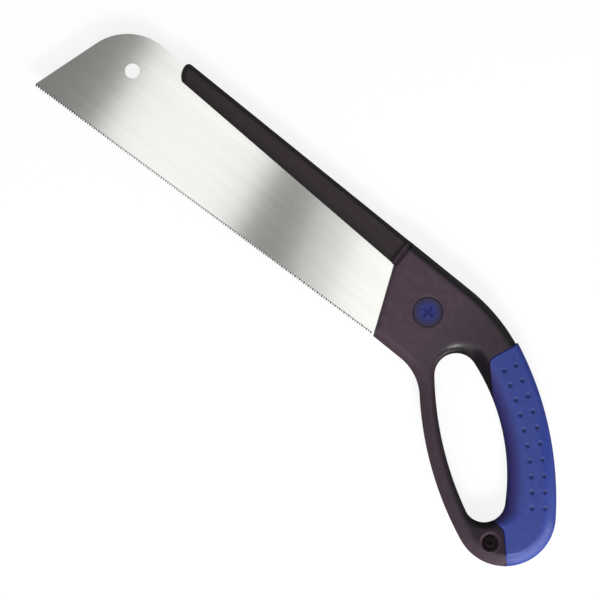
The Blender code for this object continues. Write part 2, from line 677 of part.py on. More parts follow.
def make_clamp(materials, parent):
    """Clamp screw with its moulded head, washer and the threaded insert in the right casing."""
    axis = bpy.data.objects.new("clamp_axis", None)
    bpy.context.scene.collection.objects.link(axis)
    axis.parent = parent
    edge = circle_outline(CLAMP_AXIS, HEAD_DIAMETER, ROUND_SIDES)
    head = loft("clamp_head", [
        at_height(edge, HEAD_BOTTOM), at_height(edge, HEAD_TOP - HEAD_ROUND),
        at_height(inset(edge, HEAD_ROUND), HEAD_TOP),
    ], materials["clamp"], axis)
    floor = HEAD_TOP - CROSS_DEPTH
    arm = np.array([CROSS_LENGTH, CROSS_WIDTH]) / 2
    for name, half in (("cross_x", arm), ("cross_y", arm[::-1])):
        boolean(head, prism(name, box_outline(-half, half), floor, HEAD_TOP + CUT_MARGIN))
    stud_top = HEAD_BOTTOM + STUD_IN_HEAD
    bore = (CLAMP_AXIS, STUD_HOLE_DIAMETER)
    boolean(head, drum("head_bore", *bore, HEAD_BOTTOM - CUT_MARGIN, stud_top + GAP, PIN_SIDES))
    steel = materials["steel"]
    stud_end = INSERT_BOTTOM + STUD_END_COVER
    drum("clamp_stud", CLAMP_AXIS, STUD_DIAMETER, stud_end, stud_top, PIN_SIDES, steel, axis)
    washer_diameter = HEAD_DIAMETER - 2 * WASHER_INSET
    through = drum("clamp_bore", *bore, -CUT_MARGIN, HANDLE_THICKNESS, PIN_SIDES)
    washer = prism(
        "clamp_washer", circle_outline(CLAMP_AXIS, washer_diameter, ROUND_SIDES),
        WASHER_BOTTOM, WASHER_TOP, steel, axis,
    )
    insert = prism(
        "clamp_insert", circle_outline(CLAMP_AXIS, INSERT_DIAMETER, ROUND_SIDES),
        INSERT_BOTTOM, INSERT_TOP, steel, parent,
    )
    boolean(washer, through)
    boolean(insert, through)


def make_pins(material, parent):
    """Dowels that hold the spine's tenon, line up the halves and stop the tang."""
    for name, place in PINS.items():
        low, high = MIDDLE - PIN_LENGTH / 2, MIDDLE + PIN_LENGTH / 2
        drum(name, place, PIN_DIAMETER, low, high, PIN_SIDES, material, parent)


def make_handle_screw(material, parent):
    """Socket screw that closes the halves at the foot of the hand opening."""
    head = circle_outline(SCREW, SCREW_HEAD_DIAMETER, PIN_SIDES)
    shank = circle_outline(SCREW, SCREW_SHANK_DIAMETER, PIN_SIDES)
    screw = loft("handle_screw", [
        at_height(shank, SCREW_END), at_height(shank, SCREW_HEAD_BOTTOM),
        at_height(head, SCREW_HEAD_BOTTOM), at_height(head, SCREW_HEAD_TOP),
    ], material, parent)
    socket = circle_outline(SCREW, SCREW_SOCKET, SCREW_SOCKET_SIDES)
    boolean(screw, prism("screw_socket", socket, SCREW_HEAD_TOP - SCREW_SOCKET_DEPTH, HANDLE_THICKNESS))


def main():
    for obj in list(bpy.data.objects):
        bpy.data.objects.remove(obj, do_unlink=True)
    materials = {
        "blade": new_material("blade_steel", (205, 204, 200), 0.30, 1.0),
        "casing": new_material("casing_plastic", (62, 56, 61), 0.55, 0.0),
        "spine": new_material("spine_plastic", (52, 44, 48), 0.50, 0.0),
        "grip": new_material("grip_rubber", (58, 66, 132), 0.65, 0.0),
        "clamp": new_material("clamp_plastic", (48, 52, 112), 0.45, 0.0),
        "steel": new_material("fastener_steel", (170, 170, 172), 0.35, 1.0),
        "screw": new_material("screw_black", (30, 27, 29), 0.45, 1.0),
    }
    saw = bpy.data.objects.new("saw", None)
    bpy.context.scene.collection.objects.link(saw)
    shared = handle_cutters()
    left = make_casing("left_casing", LEFT, shared, materials["casing"], saw)
    right = make_casing("right_casing", RIGHT, shared, materials["casing"], saw)
    make_left_holes(left)
    make_right_holes(right)
    make_grip("left_grip", LEFT, materials["grip"], saw)
    make_grip("right_grip", RIGHT, materials["grip"], saw)
    make_blade(materials["blade"], saw)
    make_spine(materials["spine"], saw)
    make_clamp(materials, saw)
    make_pins(materials["steel"], saw)
    make_handle_screw(materials["screw"], saw)


main()
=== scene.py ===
"""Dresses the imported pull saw: moulded handle halves, grips, spine, clamp head, screw and brushed blade."""

import math

import bpy
import numpy as np
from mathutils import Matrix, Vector


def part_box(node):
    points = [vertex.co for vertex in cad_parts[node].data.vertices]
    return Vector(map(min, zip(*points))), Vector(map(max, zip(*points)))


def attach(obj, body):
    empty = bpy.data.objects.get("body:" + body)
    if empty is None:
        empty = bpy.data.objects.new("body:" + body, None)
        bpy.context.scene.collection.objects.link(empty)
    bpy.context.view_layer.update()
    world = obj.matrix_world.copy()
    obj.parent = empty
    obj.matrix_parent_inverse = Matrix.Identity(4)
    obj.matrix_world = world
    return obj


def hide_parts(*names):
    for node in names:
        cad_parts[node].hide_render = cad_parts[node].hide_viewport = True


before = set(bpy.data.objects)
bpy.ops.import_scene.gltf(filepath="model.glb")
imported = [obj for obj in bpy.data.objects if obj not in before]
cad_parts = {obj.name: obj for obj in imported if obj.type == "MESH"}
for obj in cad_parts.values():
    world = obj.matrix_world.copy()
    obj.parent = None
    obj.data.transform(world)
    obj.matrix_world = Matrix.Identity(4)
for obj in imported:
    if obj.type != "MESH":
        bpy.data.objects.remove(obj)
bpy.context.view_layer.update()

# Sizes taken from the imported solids
casing_low, casing_high = (np.array(corner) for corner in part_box("left_casing"))
spine_low, spine_high = (np.array(corner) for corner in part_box("spine"))
head_low, head_high = (np.array(corner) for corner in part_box("clamp_head"))
screw_low, screw_high = (np.array(corner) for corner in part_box("handle_screw"))
THICKNESS = casing_high[2]
MIDDLE = THICKNESS / 2
TOP_Y = casing_high[1]
COLLAR_X = casing_low[0]
SPINE_TIP_X = spine_low[0]
SPINE_HALF = (spine_high[2] - spine_low[2]) / 2
HEAD_RADIUS = head_high[0]
SCREW = (screw_low[:2] + screw_high[:2]) / 2
SCREW_RADIUS = (screw_high[0] - screw_low[0]) / 2

# Sizes as the solids were drawn
GAP = 0.0003
HALF_PARTING = GAP / 2
BOTTOM_Y = -0.0343
FRONT_LOW_X = -0.0174
FRONT_HIGH_X = -0.0361
SHOULDER_X = FRONT_HIGH_X + 0.0020
TOP_ARC_X = 0.0130
TOP_ARC_RADIUS = 0.120
END = np.array([0.1224, -0.0711])
END_RADIUS = 0.0329
BACK_RADIUS = 0.219
GUARD_RADIUS = 0.222
GUARD_START = np.array([0.0300, -0.0449])
GUARD_FILLET = 0.033
LOOP_FRONT = np.array([0.0404, -0.0202])
LOOP_FRONT_RADIUS = 0.01425
LOOP_LOW = END - np.array([0.0159, 0.0015])
LOOP_LOW_RADIUS = 0.0136
LOOP_BACK_RADIUS = 0.135
LOOP_GUARD_RADIUS = 0.217
EDGE_ROUND = 0.0045
FRONT_REACH = 0.0035
FRONT_FALL = 0.0020
GRIP_STEP_X = 0.0584
GRIP_PROUD = 0.0015
GRIP_CORNER_SET = np.array([0.0081, 0.0197])
GRIP_CORNER_RADIUS = 0.005
GRIP_TONGUE_SLOPE = -45.0
GRIP_FOOT = END + np.array([0.0133, -0.0168])
GRIP_FOOT_SLOPE = -46.0
SOFT_COVER = 0.0024
DIMPLE_ROWS = (0.0076, 0.0160)
DIMPLES_PER_ROW = 10
DIMPLE_PITCH = 0.0110
DIMPLE_START = 0.0124
SLOT_HALF = 0.000725
TANG_LOW_Y = BOTTOM_Y + 0.0043
TANG_REAR_X = 0.0140
TOE = np.array([-0.2911, -0.0463])
HEEL = np.array([-0.0195, BOTTOM_Y])
TOOTHED_INWARDS = np.array([TOE[1] - HEEL[1], HEEL[0] - TOE[0]]) / np.linalg.norm(HEEL - TOE)
TOOTH_HEIGHT = 0.0016
SPINE_TIP_Y = TOP_Y - 0.0124
SPINE_ROOT_Y = TOP_Y - 0.0181
SPINE_ROUND = 0.0028
SPINE_LIP = 0.0010
SPINE_CORNER = 0.0032
SPINE_NOSE = 0.011
BACK_Y = TOP_Y - 0.0025
STUD_BORE_RADIUS = 0.0033
SCREW_CLEARANCE = 0.0007
SCREW_HEAD_DEPTH = 0.0026
SHANK_RADIUS = 0.0020
LEFT, RIGHT = 1, -1

# Collar, edges, seams, dimples and recesses, where they differ from the solids
COLLAR_FOOT = 0.0030
COLLAR_LAP = 0.0010
COLLAR_EASE = 0.0004
COLLAR_WALL = 0.0002
GUARD_REACH = 0.0065
BACK_ROUND = 0.0034
BACK_BEVEL_FROM = 0.4
END_REACH = 0.0085
END_FALL = 0.0078
PALM_REACH = 0.0120
PALM_FALL = 0.0080
LOW_END_GRIP = 0.55
SEAM_GAP = 0.00008
SEAM_REACH = 0.0011
SEAM_FALL = 0.0010
GRIP_FOOT_RUN = 0.0105
GRIP_FOOT_BEND = 0.0050
GRIP_FOOT_TURN = 41.0
DIMPLE_RADIUS = 0.0017
DIMPLE_DEPTH = 0.0007
HEAD_CLEARANCE = 0.00015
CROSS_HALF = 0.0042
CROSS_HALF_WIDTH = 0.0008
CROSS_DEPTH = 0.0010
CROSS_TAPER = 0.75
SOCKET_LEVELS = ((0.0019, -0.0022), (0.0020, -0.0002), (0.0022, 0.0002))

# Lengths of sampled lines, margins round cutters, and the angle from which edges are sharp
GRIP_TOP_RUN = 0.030
GRIP_TONGUE_RUN = 0.034
GRIP_FOOT_OUTSIDE = 0.036
GRIP_FOOT_INSIDE = 0.012
CORE_SET = 0.0001
CUT_MARGIN = 0.002
CUT_END = 0.001
GROOVE_MARGIN = 0.004
SMOOTH_ANGLE = 34.0

# Headings and turns in degrees and places along the top, where edges and rulings begin or end
RULED_TOP = 119.0
RULED_SHOULDER = 146.8
RULED_NOSE = 157.7
RULED_FRONT = 158.3
RULED_BOTTOM = 193.7
RULED_GUARD = 214.0
UNDER_GRIP_X = 0.0784
TOP_TURN_X = 0.0470
UNDER_GRIP_TURN = 17.0
END_TURN = 92.0
FOOT_TURN = 60.0
CASING_LOW_TURN = 128.0
GRIP_BACK_SET = 6.5
GRIP_LOW_TURN = 64.0
CORE_BACK_SET = 2.6
CORE_END_TURN = 88.0
CORE_LOW_TURN = 125.0

# Painted shade, and the radii's finish with darker painted shade, as shares of the full effect and as reaches
EDGE_FULL = 1.65
EDGE_FADE = 1.3
TOP_FINISH_SHADE_REACH = 1.3 * EDGE_ROUND
GUARD_FINISH_SHADE = 0.25
FRONT_FINISH_SHADE = 0.2
PALM_DULLED = 0.7
PALM_SHADE_FROM = 0.8
PALM_TONE = 1.2
CASING_SHADE_FROM_X = 0.010
CASING_SHADE_LENGTH = 0.035
CASING_SHADE = 0.82
GUARD_UNSHADED = 0.0095
SCREW_UNSHADED = 0.0015
DIMPLE_SHADE = 0.66
SPINE_LIP_SHADE = 0.65
SPINE_LIP_SHADE_REACH = 0.0065
SPINE_FINISH_SHADE_REACH = 1.2 * SPINE_ROUND
LIP_FINISH_SHADE = 0.8
LIP_FINISH_SHADE_REACH = 0.0022
CROSS_SHADE = 0.2
CROSS_SHADE_DEPTH = 0.0008
CROSS_SHADE_REACH = 1.1 * CROSS_HALF
RIM_TONE = 1.2
RIM_TONE_FROM = 0.3
SOCKET_SHADE_REACH = 0.0022


# Plane curves

def towards(degrees):
    """Unit vectors at headings given in degrees."""
    turn = np.radians(degrees)
    return np.stack([np.cos(turn), np.sin(turn)], axis=-1)


def heading(vector):
    """Direction of a plane vector in degrees, from 0 to 360."""
    return math.degrees(math.atan2(vector[1], vector[0])) % 360


def circles_meet(first, first_radius, second, second_radius, side):
    """The crossing of two circles that lies left (+1) or right (-1) of the line between their centres."""
    between = second - first
    distance = np.linalg.norm(between)
    along = (first_radius**2 - second_radius**2 + distance**2) / (2 * distance)
    across = math.sqrt(first_radius**2 - along**2)
    run = between / distance
    return first + run * along + side * across * np.array([-run[1], run[0]])


class Arc:
    """Part of a circle: at a share from 0 to 1 its heading runs evenly from start to end."""

    def __init__(self, centre, radius, start, end):
        self.centre, self.radius, self.start, self.end = np.asarray(centre), radius, start, end

    def at(self, share):
        return self.centre + self.radius * towards(self.start + (self.end - self.start) * np.asarray(share))

    def away(self, points):
        """Distance of each point from the arc and the share of the arc nearest to it."""
        offset = points - self.centre
        middle = (self.start + self.end) / 2
        turn = np.degrees(np.arctan2(offset[..., 1], offset[..., 0])) - middle
        turn = middle + (turn + 180) % 360 - 180
        share = np.clip((turn - self.start) / (self.end - self.start), 0, 1)
        return np.linalg.norm(points - self.at(share), axis=-1), share


class Line:
    """Straight run between two points; a share from 0 to 1 goes evenly along it."""

    def __init__(self, start, end):
        self.start, self.run = np.asarray(start), np.subtract(end, start)

    def at(self, share):
        return self.start + np.asarray(share)[..., None] * self.run

    def away(self, points):
        """Distance of each point from the run and the share of the run nearest to it."""
        share = np.clip((points - self.start) @ self.run / (self.run @ self.run), 0, 1)
        return np.linalg.norm(points - self.at(share), axis=-1), share


def even(count):
    """Shares evenly spread from 0 to 1."""
    return np.linspace(0, 1, count + 1)


def near_ends(count, draw):
    """Shares from 0 to 1 drawn towards both ends: the even share less a sine wave of one period."""
    share = even(count)
    return share - draw * np.sin(2 * np.pi * share) / (2 * np.pi)


def near_start(count):
    """Shares from 0 to 1 drawn towards the start, one less the cosine of a quarter turn."""
    return 1 - np.cos(np.pi / 2 * even(count))


def from_seam(count, seam):
    """Shares from 0 to 1: eight growing steps over a seam's share, then even ones."""
    return np.concatenate([seam * even(8) ** 1.5, seam + (1 - seam) * even(count)[1:]])


def to_seam(count, seam):
    """The same shares with the small steps at the end."""
    return 1 - from_seam(count, seam)[::-1]


# Outline of the handle and of its hand opening

TOP_ARC = np.array([TOP_ARC_X, TOP_Y - TOP_ARC_RADIUS])


def top_heading(x):
    """Heading of the top edge's arc at a given x."""
    return math.degrees(math.acos((x - TOP_ARC_X) / TOP_ARC_RADIUS))


GRIP_STEP = TOP_ARC + TOP_ARC_RADIUS * towards(top_heading(GRIP_STEP_X)) + np.array([0, GRIP_PROUD])
BACK = circles_meet(END, BACK_RADIUS - END_RADIUS, GRIP_STEP, BACK_RADIUS, 1)
GUARD = circles_meet(END, GUARD_RADIUS - END_RADIUS, GUARD_START, GUARD_RADIUS, -1)
LOOP_BACK = circles_meet(
    LOOP_FRONT, LOOP_BACK_RADIUS - LOOP_FRONT_RADIUS, LOOP_LOW, LOOP_BACK_RADIUS - LOOP_LOW_RADIUS, -1
)
LOOP_GUARD = circles_meet(
    LOOP_FRONT, LOOP_GUARD_RADIUS - LOOP_FRONT_RADIUS, LOOP_LOW, LOOP_GUARD_RADIUS - LOOP_LOW_RADIUS, 1
)
BACK_TOP, BACK_LOW = heading(GRIP_STEP - BACK), heading(END - BACK)
LOOP_TOP, LOOP_FALL = heading(LOOP_FRONT - LOOP_BACK), heading(LOOP_LOW - LOOP_BACK)
LOOP_RISE, LOOP_FOOT = heading(LOOP_FRONT - LOOP_GUARD), heading(LOOP_LOW - LOOP_GUARD)
FILLET_Y = BOTTOM_Y - GUARD_FILLET
FILLET = np.array([
    GUARD[0] - math.sqrt((GUARD_RADIUS + GUARD_FILLET) ** 2 - (GUARD[1] - FILLET_Y) ** 2), FILLET_Y
])
FILLET_END = heading(GUARD - FILLET)
GUARD_END = heading(END - GUARD)


def spine_lower_edge(x):
    """Height of the spine's lower edge, straight from its root to its tip."""
    share = (x - FRONT_HIGH_X) / (SPINE_TIP_X - FRONT_HIGH_X)
    return SPINE_ROOT_Y + share * (SPINE_TIP_Y - SPINE_ROOT_Y)


# Edges of the opening, each with the palm's share in its rounding and its share of radius finish and painted
# shade, at its start and end
LOOP_EDGES = (
    (Arc(LOOP_BACK, LOOP_BACK_RADIUS, LOOP_FALL, LOOP_TOP), (1, 1), (1.0, 1.0)),
    (Arc(LOOP_FRONT, LOOP_FRONT_RADIUS, LOOP_TOP, LOOP_RISE), (1, 0), (1.0, 0.35)),
    (Arc(LOOP_GUARD, LOOP_GUARD_RADIUS, LOOP_RISE, LOOP_FOOT), (0, 0), (0.35, 0.6)),
    (Arc(LOOP_LOW, LOOP_LOW_RADIUS, LOOP_FOOT, LOOP_FALL + 360), (0, 1), (0.6, 1.0)),
)

# Outer edges of the grip, along the arm's back and round the handle's end
GRIP_BACK_EDGE = Arc(BACK, BACK_RADIUS, BACK_TOP + GRIP_BACK_SET, BACK_LOW)
GRIP_END_EDGE = Arc(END, END_RADIUS, BACK_LOW, BACK_LOW - END_TURN)


def smooth(share):
    """Smooth step: three times the square of the share less twice its cube."""
    return share * share * (3 - 2 * share)


def rounding(distance, reach, fall):
    """Drop of a rounded edge: a quarter ellipse from the full fall at the edge to nothing at its reach."""
    inwards = np.clip(1 - distance / reach, 0, 1)
    return fall * (1 - np.sqrt(1 - inwards**2))


def bevelling(distance, reach, fall):
    """Drop of a bevel with a rounded edge: a softened ramp mixed with a quarter ellipse."""
    soft, ramped = 0.35, 0.6
    inwards = np.clip(1 - distance / reach, 0, 1)
    ramp = (1 + soft) * inwards**2 / (inwards + soft)
    return fall * (ramped * ramp + (1 - ramped) * (1 - np.sqrt(1 - inwards**2)))


def nearest(points, edges):
    """Shortest distance from each point to any of the edges."""
    return np.min([edge.away(points)[0] for edge in edges], axis=0)


def loop_nearest(points):
    """Distance from the hand opening, with the palm's share in the rounding and the share of radius finish
    and painted shade nearest by.

    The rounding turns from the guard's to the palm's, by a smooth step, along the opening's front end and
    along the grip's part of its lower end.
    """
    found = []
    for edge, (start, end), (first, last) in LOOP_EDGES:
        distance, share = edge.away(points)
        turned = np.clip((share - LOW_END_GRIP) / (1 - LOW_END_GRIP), 0, 1) if end > start else share
        found.append((distance, start + (end - start) * smooth(turned), first + (last - first) * share))
    layers = [np.array(values) for values in zip(*found)]
    pick = np.argmin(layers[0], axis=0)[None]
    return [np.take_along_axis(values, pick, 0)[0] for values in layers]


def palm_reach(palm):
    """Reach of the opening's rounding, from the guard's to the palm's by the palm's share."""
    return EDGE_ROUND + palm * (PALM_REACH - EDGE_ROUND)


def palm_shade(palm):
    """Share of painted shade at the opening's edge, where the rounding is nearly all the palm's."""
    return np.clip((palm - PALM_SHADE_FROM) / (1 - PALM_SHADE_FROM), 0, 1)


def loop_drop(points, cover=0.0):
    """Drop at the hand opening's edge, set back from it by a cover."""
    distance, palm = loop_nearest(points)[:2]
    fall = EDGE_ROUND + palm * (PALM_FALL - EDGE_ROUND)
    return rounding(distance - cover, palm_reach(palm), fall)


def closeness(distance, reach):
    """One out to half the reach of an edge's rounding, then fading evenly to nothing past it."""
    return np.clip(EDGE_FULL - EDGE_FADE * distance / reach, 0, 1)


def grip_top_end(spread):
    """Samples of the grip's upper end, moved towards the casing by a clearance.

    A line comes down from the handle's back, turns through a rounded corner and runs along the tongue of
    the casing to the opening.
    """
    corner = GRIP_STEP - GRIP_CORNER_SET
    up = (GRIP_STEP - corner) / np.linalg.norm(GRIP_STEP - corner)
    down = towards(GRIP_TONGUE_SLOPE)
    half = math.acos(up @ down) / 2
    middle = corner + (up + down) / np.linalg.norm(up + down) * GRIP_CORNER_RADIUS / math.sin(half)
    facing, opened = heading(corner - middle), 90 - math.degrees(half)
    bend = Arc(middle, GRIP_CORNER_RADIUS + spread, facing - opened, facing + opened).at(even(60))
    above = Line(bend[0] + up * GRIP_TOP_RUN, bend[0]).at(even(150))
    below = Line(bend[-1], bend[-1] + down * GRIP_TONGUE_RUN).at(even(170))
    return np.vstack([above, bend[1:], below[1:]])


def grip_foot_end(spread):
    """Samples of the line across the foot where the grip ends, moved towards the casing by a clearance.

    It runs in straight from the outer edge, then bends along the opening's lower end.
    """
    slope = GRIP_FOOT_SLOPE + 180
    inwards, left = towards(slope), towards(slope + 90)
    start = GRIP_FOOT + inwards * GRIP_FOOT_RUN + left * spread
    radius = GRIP_FOOT_BEND - spread
    bend = Arc(start + left * radius, radius, slope - 90, slope - 90 + GRIP_FOOT_TURN).at(even(40))
    outside = Line(start - inwards * GRIP_FOOT_OUTSIDE, start).at(even(250))
    inside = Line(bend[-1], bend[-1] + towards(slope + GRIP_FOOT_TURN) * GRIP_FOOT_INSIDE).at(even(100))
    return np.vstack([outside, bend[1:], inside[1:]])


def curve_distance(points, samples):
    """Distance from each point to the nearest sample of a curve."""
    block_size = 4000
    flat = points.reshape(-1, 2)
    blocks = np.array_split(flat, max(len(flat) // block_size, 1))
    near = [np.sqrt(((block[:, None] - samples[None]) ** 2).sum(2).min(1)) for block in blocks]
    return np.concatenate(near).reshape(points.shape[:-1])


def seam_distance(plan, spread):
    """Distance from the seam between casing and grip, at the nearer of the grip's two ends."""
    return np.minimum(curve_distance(plan, grip_top_end(spread)), curve_distance(plan, grip_foot_end(spread)))


def meet_shares(outer, inner, samples, across):
    """Share along a pair of edges at which a crossing curve meets each line across.

    A ruling joins the two edges at equal shares. Each sample of the curve lies on the ruling where the
    cross product with it changes sign; the share is then read off at the wanted fractions across.
    """
    stations = 2400
    share = even(stations)
    start, run = outer.at(share), inner.at(share) - outer.at(share)
    offset = samples[:, None] - start[None]
    turn = run[None, :, 0] * offset[..., 1] - run[None, :, 1] * offset[..., 0]
    hits = (turn[:, :-1] * turn[:, 1:]) <= 0
    found = hits.any(axis=1)
    place = np.argmax(hits, axis=1)[found]
    before, after = turn[found, place], turn[found, place + 1]
    exact = (place + before / (before - after)) / stations
    start, run = outer.at(exact), inner.at(exact) - outer.at(exact)
    depth = np.sum((samples[found] - start) * run, axis=1) / np.sum(run * run, axis=1)
    order = np.argsort(depth)
    return np.interp(across, depth[order], exact[order])


def ruled_plan(sections, across):
    """Plan grid from pairs of edges: every station is a straight ruling from the outer to the inner edge."""
    parts = []
    for outer, inner, spread, start, end in sections:
        share = start + (end - start) * spread[:, None] + np.zeros_like(across)
        points = outer.at(share) * (1 - across)[:, None] + inner.at(share) * across[:, None]
        parts.append(points[1:] if parts else points)
    return np.concatenate(parts)


# Meshes

def body(name, points, faces):
    """Closed mesh object from points and arrays of faces, turned so that its volume is positive.

    The volume is a sixth of the sum of triple products over a fan of triangles in each face.
    """
    volume = 0.0
    for group in faces:
        first, second, third = points[group[:, :1]], points[group[:, 1:-1]], points[group[:, 2:]]
        volume += np.sum(first * np.cross(second, third))
    lists = [row for group in faces for row in (group if volume > 0 else group[:, ::-1]).tolist()]
    mesh = bpy.data.meshes.new(name)
    mesh.from_pydata(points.tolist(), [], lists)
    obj = bpy.data.objects.new(name, mesh)
    bpy.context.scene.collection.objects.link(obj)
    return obj


def grid_faces(columns, rows):
    """Quads of a grid, as indices counted column by column."""
    index = np.arange(columns * rows).reshape(columns, rows)
    return np.stack([index[:-1, :-1], index[1:, :-1], index[1:, 1:], index[:-1, 1:]], axis=-1).reshape(-1, 4)


def border(columns, rows):
    """Indices round the edge of a grid, in order."""
    index = np.arange(columns * rows).reshape(columns, rows)
    return np.concatenate([index[:-1, 0], index[-1, :-1], index[:0:-1, -1], index[0, :0:-1]])


def wall_faces(upper, lower):
    """Quads between two closed rows of points."""
    return np.stack([upper, lower, np.roll(lower, -1), np.roll(upper, -1)], axis=1)


def slab(name, plan, height, side, floor):
    """Half body on a flat floor: over each point of the plan its face stands off the middle plane."""
    columns, rows = height.shape
    face = np.dstack([plan, MIDDLE + side * height]).reshape(-1, 3)
    edge = border(columns, rows)
    base = face[edge].copy()
    base[:, 2] = MIDDLE + side * floor
    foot = np.arange(len(edge)) + len(face)
    return body(name, np.vstack([face, base]), [
        grid_faces(columns, rows), wall_faces(edge, foot), foot[None, ::-1]
    ])


def shell(name, plan, upper, lower):
    """Body between two faces over one plan, with a wall round their edge."""
    columns, rows = upper.shape
    points = np.vstack([np.dstack([plan, level]).reshape(-1, 3) for level in (upper, lower)])
    edge, count = border(columns, rows), columns * rows
    quads = grid_faces(columns, rows)
    return body(name, points, [quads, quads[:, ::-1] + count, wall_faces(edge, edge + count)])


def loft(name, rings):
    """Closed body through rings of equally many points, with a flat cap at each end."""
    rings = np.asarray(rings)
    index = np.arange(rings.shape[0] * rings.shape[1]).reshape(rings.shape[:2])
    walls = [wall_faces(upper, lower) for upper, lower in zip(index[:-1], index[1:])]
    return body(name, rings.reshape(-1, 3), walls + [index[:1], index[-1:, ::-1]])


def lifted(outline, z):
    """Plane points at one height."""
    return np.column_stack([outline, np.full(len(outline), z)])


def prism(name, outline, low, high):
    """Straight body over an outline between two heights."""
    return loft(name, [lifted(outline, z) for z in (low, high)])


def lathe(name, centre, profile, sides):
    """Body of revolution: each radius and height of the profile becomes a ring about an upright axis."""
    ring = towards(np.linspace(0, 360, sides, endpoint=False))
    return loft(name, [lifted(centre + radius * ring, z) for radius, z in profile])


def combine(obj, operation, *others):
    """Cuts other bodies out of one or joins them to it, and keeps the result as its mesh."""
    for other in others:
        modifier = obj.modifiers.new(other.name, "BOOLEAN")
        modifier.operation = operation
        modifier.solver = "EXACT"
        modifier.object = other
    evaluated = obj.evaluated_get(bpy.context.evaluated_depsgraph_get())
    mesh = bpy.data.meshes.new_from_object(evaluated)
    obj.modifiers.clear()
    obj.data = mesh
    for other in others:
        bpy.data.objects.remove(other, do_unlink=True)
    return obj


def mark(obj, name, mask):
    """Gives every point a value worked out from its place, for the material to read."""
    points = np.empty(3 * len(obj.data.vertices))
    obj.data.vertices.foreach_get("co", points)
    values = mask(points.reshape(-1, 3))
    obj.data.attributes.new(name, "FLOAT", "POINT").data.foreach_set("value", values)
    return obj


def finish_piece(obj, node, body_name, material):
    """Smooth shading up to an angle, the material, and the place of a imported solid."""
    obj.data.shade_smooth()
    obj.data.set_sharp_from_angle(angle=math.radians(SMOOTH_ANGLE))
    obj.data.materials.clear()
    obj.data.materials.append(material)
    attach(obj, body_name)
    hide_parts(node)


# Materials

def paint(red, green, blue):
    """Linear colour of an sRGB one."""
    share = np.array([red, green, blue]) / 255
    linear = np.where(share <= 0.04045, share / 12.92, ((share + 0.055) / 1.055) ** 2.4)
    return (*linear.tolist(), 1.0)


class Graph:
    """Adds nodes to a tree with their settings, and joins the sockets given as inputs."""

    def __init__(self, tree):
        self.tree = tree

    def add(self, kind, inputs=None, **settings):
        node = self.tree.nodes.new(kind)
        for key, value in settings.items():
            setattr(node, key, value)
        for key, value in (inputs or {}).items():
            if isinstance(value, bpy.types.NodeSocket):
                self.join(value, node.inputs[key])
            else:
                node.inputs[key].default_value = value
        return node

    def join(self, source, target):
        self.tree.links.new(source, target)

    def mix(self, factor, first, second, blend="MIX"):
        """Colour between two, or one times the other, by a factor."""
        node = self.add("ShaderNodeMix", {0: factor, 6: first, 7: second}, data_type="RGBA", blend_type=blend)
        return node.outputs[2]

    def span(self, value, low, high, start=0.0, end=1.0):
        """Value carried by a smooth step from the span between start and end to that between low and high."""
        inputs = {0: value, 1: start, 2: end, 3: low, 4: high}
        return self.add("ShaderNodeMapRange", inputs, interpolation_type="SMOOTHSTEP").outputs[0]

    def noise(self, vector, scale, detail, rough):
        """Value of a noise texture at a vector."""
        inputs = {"Vector": vector, "Scale": scale, "Detail": detail, "Roughness": rough}
        return self.add("ShaderNodeTexNoise", inputs).outputs["Fac"]

    def math(self, operation, first, second):
        """Result of one operation on two values."""
        return self.add("ShaderNodeMath", {0: first, 1: second}, operation=operation).outputs[0]


def new_group(name, inputs, outputs):
    """Empty shader group with named inputs and outputs."""
    tree = bpy.data.node_groups.new(name, "ShaderNodeTree")
    for label, kind in inputs:
        tree.interface.new_socket(label, in_out="INPUT", socket_type=kind)
    for label, kind in outputs:
        tree.interface.new_socket(label, in_out="OUTPUT", socket_type=kind)
    graph = Graph(tree)
    return tree, graph, graph.add("NodeGroupInput").outputs, graph.add("NodeGroupOutput").inputs


def moulded_grain():
    """Spark texture of a mould: fine grain as height, and broad and small blotches as masks."""
    tree, graph, given, out = new_group(
        "moulded_grain", [("Vector", "NodeSocketVector"), ("Grain", "NodeSocketFloat")],
        [("Height", "NodeSocketFloat"), ("Mottle", "NodeSocketFloat"), ("Smudge", "NodeSocketFloat")],
    )
    grain = graph.noise(given["Vector"], given["Grain"], 3.0, 0.6)
    mottle = graph.noise(given["Vector"], 210.0, 3.0, 0.55)
    smudge = graph.noise(given["Vector"], 38.0, 4.0, 0.6)
    graph.join(grain, out["Height"])
    graph.join(graph.span(mottle, 0.0, 1.0, 0.3, 0.7), out["Mottle"])
    graph.join(graph.span(smudge, 0.0, 1.0, 0.35, 0.7), out["Smudge"])
    return tree


def shaded_radius_finish():
    """Where a mould's texture ends and its radii of another finish and darker painted shade begin: the mark,
    with an edge broken by noise.
    """
    tree, graph, given, out = new_group(
        "shaded_radius_finish", [("Vector", "NodeSocketVector"), ("Mark", "NodeSocketFloat")],
        [("FinishAndShade", "NodeSocketFloat")],
    )
    blotch = graph.span(graph.noise(given["Vector"], 420.0, 3.0, 0.6), -0.05, 0.05, 0.3, 0.7)
    graph.join(graph.span(graph.math("ADD", given["Mark"], blotch), 0.0, 1.0, 0.1, 0.9), out["FinishAndShade"])
    return tree


def brushed_lines():
    """Brushing along the length: noise drawn out along X, as fine lines and as wider streaks."""
    tree, graph, given, out = new_group(
        "brushed_lines", [("Vector", "NodeSocketVector")],
        [("Line", "NodeSocketFloat"), ("Streak", "NodeSocketFloat")],
    )
    fine = graph.add("ShaderNodeMapping", {"Vector": given["Vector"], "Scale": (14.0, 2600.0, 40.0)})
    wide = graph.add("ShaderNodeMapping", {"Vector": given["Vector"], "Scale": (5.0, 260.0, 40.0)})
    graph.join(graph.noise(fine.outputs[0], 1.0, 3.0, 0.6), out["Line"])
    graph.join(graph.noise(wide.outputs[0], 1.0, 3.0, 0.55), out["Streak"])
    return tree


GRAIN, FINISH_AND_SHADE, BRUSH = moulded_grain(), shaded_radius_finish(), brushed_lines()
# Colour that the shade mark multiplies in: painted shade.
SHADE_TONE = (0.10, 0.11, 0.16, 1.0)


